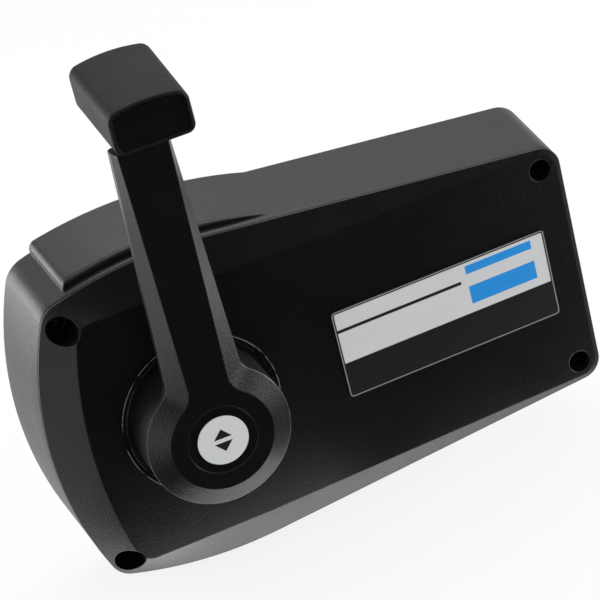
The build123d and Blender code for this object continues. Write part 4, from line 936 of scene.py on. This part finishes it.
class DressMechanism(bpy.types.Operator):
    """Metals and plastics of the gears, arms, shaft, brackets, detent, brake and switch"""
    bl_idname = "control_lever.dress_mechanism"
    bl_label = "Dress mechanism"

    def execute(self, context):
        zinc = metal("zinc_plate", (0.56, 0.57, 0.58), 0.38, (1, 1, 0.1))
        dress(zinc, "base_plate", "detent_bracket", "friction_bracket", "switch_bracket")
        ground = metal("ground_steel", (0.6, 0.6, 0.62), 0.25, (1, 0.05, 1))
        dress(ground, "main_shaft", "pivot_posts", "crank_pin", "throttle_arm_pin", "button_stem", "dog_pin",
              "detent_ball")
        dress(metal("machined_steel", (0.42, 0.42, 0.44), 0.4), "drive_gear", "shift_gear", "detent_disc",
              "friction_drum")
        dress(metal("yellow_zinc", (0.62, 0.56, 0.38), 0.36, (1, 1, 0.1)), "throttle_crank", "throttle_arm",
              "shift_arm", "throttle_link")
        dress(metal("stainless", (0.64, 0.64, 0.65), 0.3), "friction_screw", "hub_set_screw",
              "detent_plug", "switch_fixings", "throttle_clamp_screw", "shift_clamp_screw", "stem_clip")
        # Painted shade: the bolt sleeves are coloured near black so the deep bolt holes look shaded.
        dress(metal("hole_shade_steel", (0.03, 0.03, 0.032), 0.5), "bolt_sleeves")
        dress(metal("turned_brass", (0.72, 0.52, 0.22), 0.3), "throttle_swivel", "shift_swivel", "detent_sleeve",
              "switch_terminals")
        acetal = moulded("acetal", (0.72, 0.7, 0.62), 0.002, 0.0003, rough=0.35, depth=0.000008)
        dress(acetal, "front_bushing", "rear_bushing", "shaft_spacers", "switch_cam", "switch_plunger")
        dress(moulded("seal_rubber", (0.015, 0.015, 0.015), 0.001, 0.0003, rough=0.7), "shaft_seal")
        dress(moulded("brake_lining", (0.24, 0.17, 0.11), 0.0012, 0.0003, rough=0.8, depth=0.0001), "friction_shoe")
        dress(moulded("switch_body", (0.05, 0.05, 0.055), 0.0008, 0.0003, rough=0.5), "neutral_switch")
        return {"FINISHED"}


class WindSprings(bpy.types.Operator):
    """Compression springs of the warm-up button and the detent"""
    bl_idname = "control_lever.wind_springs"
    bl_label = "Wind springs"

    BUTTON_TURNS = 5.0
    DETENT_TURNS = 8.0
    BUTTON_TRAVEL = 0.005

    def execute(self, context):
        want = context.scene.lever_fittings
        tree = coil_tree(metal("spring_wire", (0.5, 0.5, 0.52), 0.3))
        for node, body, turns, axis in [
                ("button_spring", "button", self.BUTTON_TURNS, 1), ("detent_spring", "case", self.DETENT_TURNS, 0)]:
            low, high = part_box(node)
            middle = (low + high) / 2
            radius = (high.z - low.z) / 2 - want.wire
            start = middle.copy()
            start[axis] = low[axis] + want.wire
            length = high[axis] - low[axis] - 2 * want.wire
            turn = Vector((-math.pi / 2, 0, 0)) if axis == 1 else Vector((0, math.pi / 2, 0))
            seed = plain_mesh("seed", [(0, 0, 0)], [])
            coil = grown(seed, tree, node + "_wire", {
                "Sides": want.turn_sides, "Turns": turns, "Radius": radius, "Length": length, "Wire": want.wire,
                "Start": start, "Turn": turn})
            settle(coil, body, "spring_steel", node)
            if node == "button_spring":
                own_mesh(coil)
        return {"FINISHED"}


class SetScrews(bpy.types.Operator):
    """Cross-recess screws of the base plate, the cover, the cable anchors and the knob"""
    bl_idname = "control_lever.set_screws"
    bl_label = "Set screws"

    DEPTH = 0.0016
    ROUND = 0.0005

    def recess(self, top, reach):
        """The last steps of a head: its face and the cross sunk into it."""
        return [(top - self.ROUND, reach + self.ROUND, False), (top, reach, False), (top, reach * 0.62, False),
                (top, reach * 0.6, True), (top - self.DEPTH, reach * 0.42, True)]

    def execute(self, context):
        steel = metal("screw_steel", (0.64, 0.64, 0.65), 0.3)
        tree = screw_tree(steel)
        for node, body, way in [
                ("base_screws", "case", (0, 1, 0)), ("cover_screws", "case", (0, 1, 0)),
                ("anchor_screws", "case", (0, -1, 0)), ("knob_screws", "lever", (0, 0, -1))]:
            along = Vector(way)
            boxes = spots_of(node)
            low, high = boxes[0]
            length = abs((high - low).dot(along))
            spread = [(high - low)[i] for i in range(3) if not way[i]]
            reach = min(spread) / 2
            shank = min(0.00195, reach * 0.6)
            head = {"base_screws": 0.0018, "cover_screws": 0.0026, "anchor_screws": 0.0015, "knob_screws": 0.0015}
            under = length - head[node]
            if node == "base_screws":
                steps = [(0, shank * 0.7, False), (shank * 0.3, shank, False), (under, shank, False)]
                steps += [(length - 0.0002, reach, False), (length, reach - 0.0002, False)]
                steps += [(length, reach * 0.62, False), (length, reach * 0.6, True)]
                steps += [(length - self.DEPTH, reach * 0.42, True)]
            else:
                steps = [(0, shank * 0.9, False), (under, shank, False), (under, reach, False)]
                steps += self.recess(length, reach - self.ROUND)
            screw = turned(node + "_shape", steps, way)
            points = []
            for low, high in boxes:
                middle = (low + high) / 2
                foot = middle - along * length / 2
                points.append(foot)
            seed = plain_mesh("seed", points, [])
            made = grown(seed, tree, node + "_set", {"Screw": screw, "Axis": way, "Seed": len(points)})
            bpy.data.objects.remove(screw)
            settle(made, body, "screw_steel", node)
        return {"FINISHED"}


class SetStudio(bpy.types.Operator):
    """Camera at the photograph's angle, softboxes, a dark card in front, and a pale floor"""
    bl_idname = "control_lever.set_studio"
    bl_label = "Set studio"

    CAMERA = Vector((-0.2024, -1.1192, 0.5934))
    RIGHT = Vector((0.9164, -0.3346, -0.2196))
    UP = Vector((0.3428, 0.3725, 0.8624))
    FORWARD = Vector((0.2068, 0.8656, -0.4560))
    LENS = 180.0
    SENSOR = 36.0
    FLOOR_SIZE = 6.0

    def light(self, name, place, size, power, target=(0.05, -0.03, 0.0), mirrored=True):
        lamp = bpy.data.lights.new(name, "AREA")
        lamp.shape = "RECTANGLE"
        lamp.size, lamp.size_y = size
        lamp.energy = power
        made = bpy.data.objects.new(name, lamp)
        made.location = place
        made.rotation_euler = (Vector(target) - Vector(place)).to_track_quat("-Z", "Y").to_euler()
        made.visible_glossy = mirrored
        made.visible_camera = False
        bpy.context.scene.collection.objects.link(made)

    def shown_rays(self, look):
        """1 for camera, glossy and transmission rays."""
        path = [look.node("ShaderNodeLightPath", output=name)
                for name in ("Is Camera Ray", "Is Glossy Ray", "Is Transmission Ray")]
        return path[0].maths("MAXIMUM", path[1]).maths("MAXIMUM", path[2])

    def make_floor(self, want):
        half = self.FLOOR_SIZE / 2
        z = cad_low.z - want.floor_drop
        floor = plain_mesh("floor", [(-half, -half, z), (half, -half, z), (half, half, z), (-half, half, z)],
                           [(0, 1, 2, 3)])
        look = Finish("pale_floor")
        matt = look.node("ShaderNodeBsdfDiffuse", inputs={"Color": (0.9, 0.9, 0.9, 1)})
        glow = look.node("ShaderNodeEmission", inputs={"Color": (1, 1, 1, 1), "Strength": want.backdrop})
        share = self.shown_rays(look) - look.node("ShaderNodeLightPath", output="Is Camera Ray") * 0.15
        blend = look.node("ShaderNodeMixShader", inputs={0: share, 1: matt, 2: glow})
        look.node("ShaderNodeOutputMaterial", inputs={"Surface": blend})
        floor.data.materials.append(look.material)

    def make_card(self, want):
        """Dark card bent round the front of the object: only mirrored light meets it."""
        low = cad_low.z - want.floor_drop / 2
        card = plain_mesh("dark_card", [
            (-0.1, -0.066, low), (0.2, -0.066, low), (0.7, -0.7, low), (-0.4, -0.7, low), (0.9, -0.7, 1.2),
            (-0.6, -0.7, 1.2)], [(0, 1, 2, 3), (3, 2, 4, 5)])
        look = Finish("dark_card")
        matt = look.node("ShaderNodeBsdfDiffuse", inputs={"Color": (0.002, 0.002, 0.002, 1)})
        look.node("ShaderNodeOutputMaterial", inputs={"Surface": matt})
        card.data.materials.append(look.material)
        card.visible_camera = False
        card.visible_shadow = False
        card.visible_diffuse = False

    def make_world(self, context, want):
        world = bpy.data.worlds.new("studio_white")
        context.scene.world = world
        world.use_nodes = True
        nodes, links = world.node_tree.nodes, world.node_tree.links
        nodes.clear()
        path = nodes.new("ShaderNodeLightPath")
        seen = nodes.new("ShaderNodeMath")
        seen.operation = "MAXIMUM"
        links.new(path.outputs["Is Camera Ray"], seen.inputs[0])
        links.new(path.outputs["Is Glossy Ray"], seen.inputs[1])
        shown = nodes.new("ShaderNodeMath")
        shown.operation = "MAXIMUM"
        links.new(seen.outputs[0], shown.inputs[0])
        links.new(path.outputs["Is Transmission Ray"], shown.inputs[1])
        share = nodes.new("ShaderNodeMapRange")
        share.inputs["To Min"].default_value = 0.7
        share.inputs["To Max"].default_value = want.backdrop
        links.new(shown.outputs[0], share.inputs["Value"])
        sky = nodes.new("ShaderNodeBackground")
        links.new(share.outputs[0], sky.inputs["Strength"])
        leave = nodes.new("ShaderNodeOutputWorld")
        links.new(sky.outputs[0], leave.inputs["Surface"])

    def execute(self, context):
        want = context.scene.lever_studio
        data = bpy.data.cameras.new("camera")
        data.lens = self.LENS
        data.sensor_width = self.SENSOR
        data.clip_start = 0.05
        data.clip_end = 50
        camera = bpy.data.objects.new("camera", data)
        context.scene.collection.objects.link(camera)
        turn = Matrix((self.RIGHT, self.UP, -self.FORWARD)).transposed().to_4x4()
        camera.matrix_world = Matrix.Translation(self.CAMERA) @ turn
        context.scene.camera = camera
        self.light("key_above", (0.3, 0.45, 0.9), (1.0, 0.6), want.key)
        self.light("side_left", (-0.62, 0.5, 0.08), (0.6, 0.5), want.left)
        self.light("under_front", (0.05, -0.056, cad_low.z), (0.5, 0.02), want.under, target=(0.05, -0.056, 1.0))
        self.light("under_hub", (0.01, -0.086, cad_low.z), (0.11, 0.02), want.under / 5, target=(0.01, -0.086, 1.0))
        self.light("side_right", (1.0, -0.12, 0.02), (0.6, 0.5), want.right)
        self.light("front_fill", (0.2, -1.2, 0.5), (0.8, 0.8), want.fill, mirrored=False)
        self.make_floor(want)
        self.make_card(want)
        self.make_world(context, want)
        context.scene.view_settings.view_transform = "Standard"
        return {"FINISHED"}


class LeverPanel(bpy.types.Panel):
    """Steps that dress the control lever"""
    bl_idname = "VIEW3D_PT_control_lever"
    bl_label = "Control lever"
    bl_space_type = "VIEW_3D"
    bl_region_type = "UI"
    bl_category = "Control lever"

    def draw(self, context):
        for step in STEPS:
            self.layout.operator(step.bl_idname)


STEPS = (
    SetStudio, DressCase, MakeHousing, FlushPorts, PrintLabel, MakeLever, MakeKnob, DressButton, DressMechanism, WindSprings,
    SetScrews)


def register():
    for group in SETTINGS.values():
        bpy.utils.register_class(group)
    for name, group in SETTINGS.items():
        setattr(bpy.types.Scene, name, bpy.props.PointerProperty(type=group))
    for kind in (*STEPS, LeverPanel):
        bpy.utils.register_class(kind)


def unregister():
    for kind in reversed((*STEPS, LeverPanel)):
        bpy.utils.unregister_class(kind)
    for name, group in SETTINGS.items():
        delattr(bpy.types.Scene, name)
        bpy.utils.unregister_class(group)


def main():
    register()
    for step in STEPS:
        area, name = step.bl_idname.split(".")
        getattr(getattr(bpy.ops, area), name)()


if __name__ == "__main__":
    main()
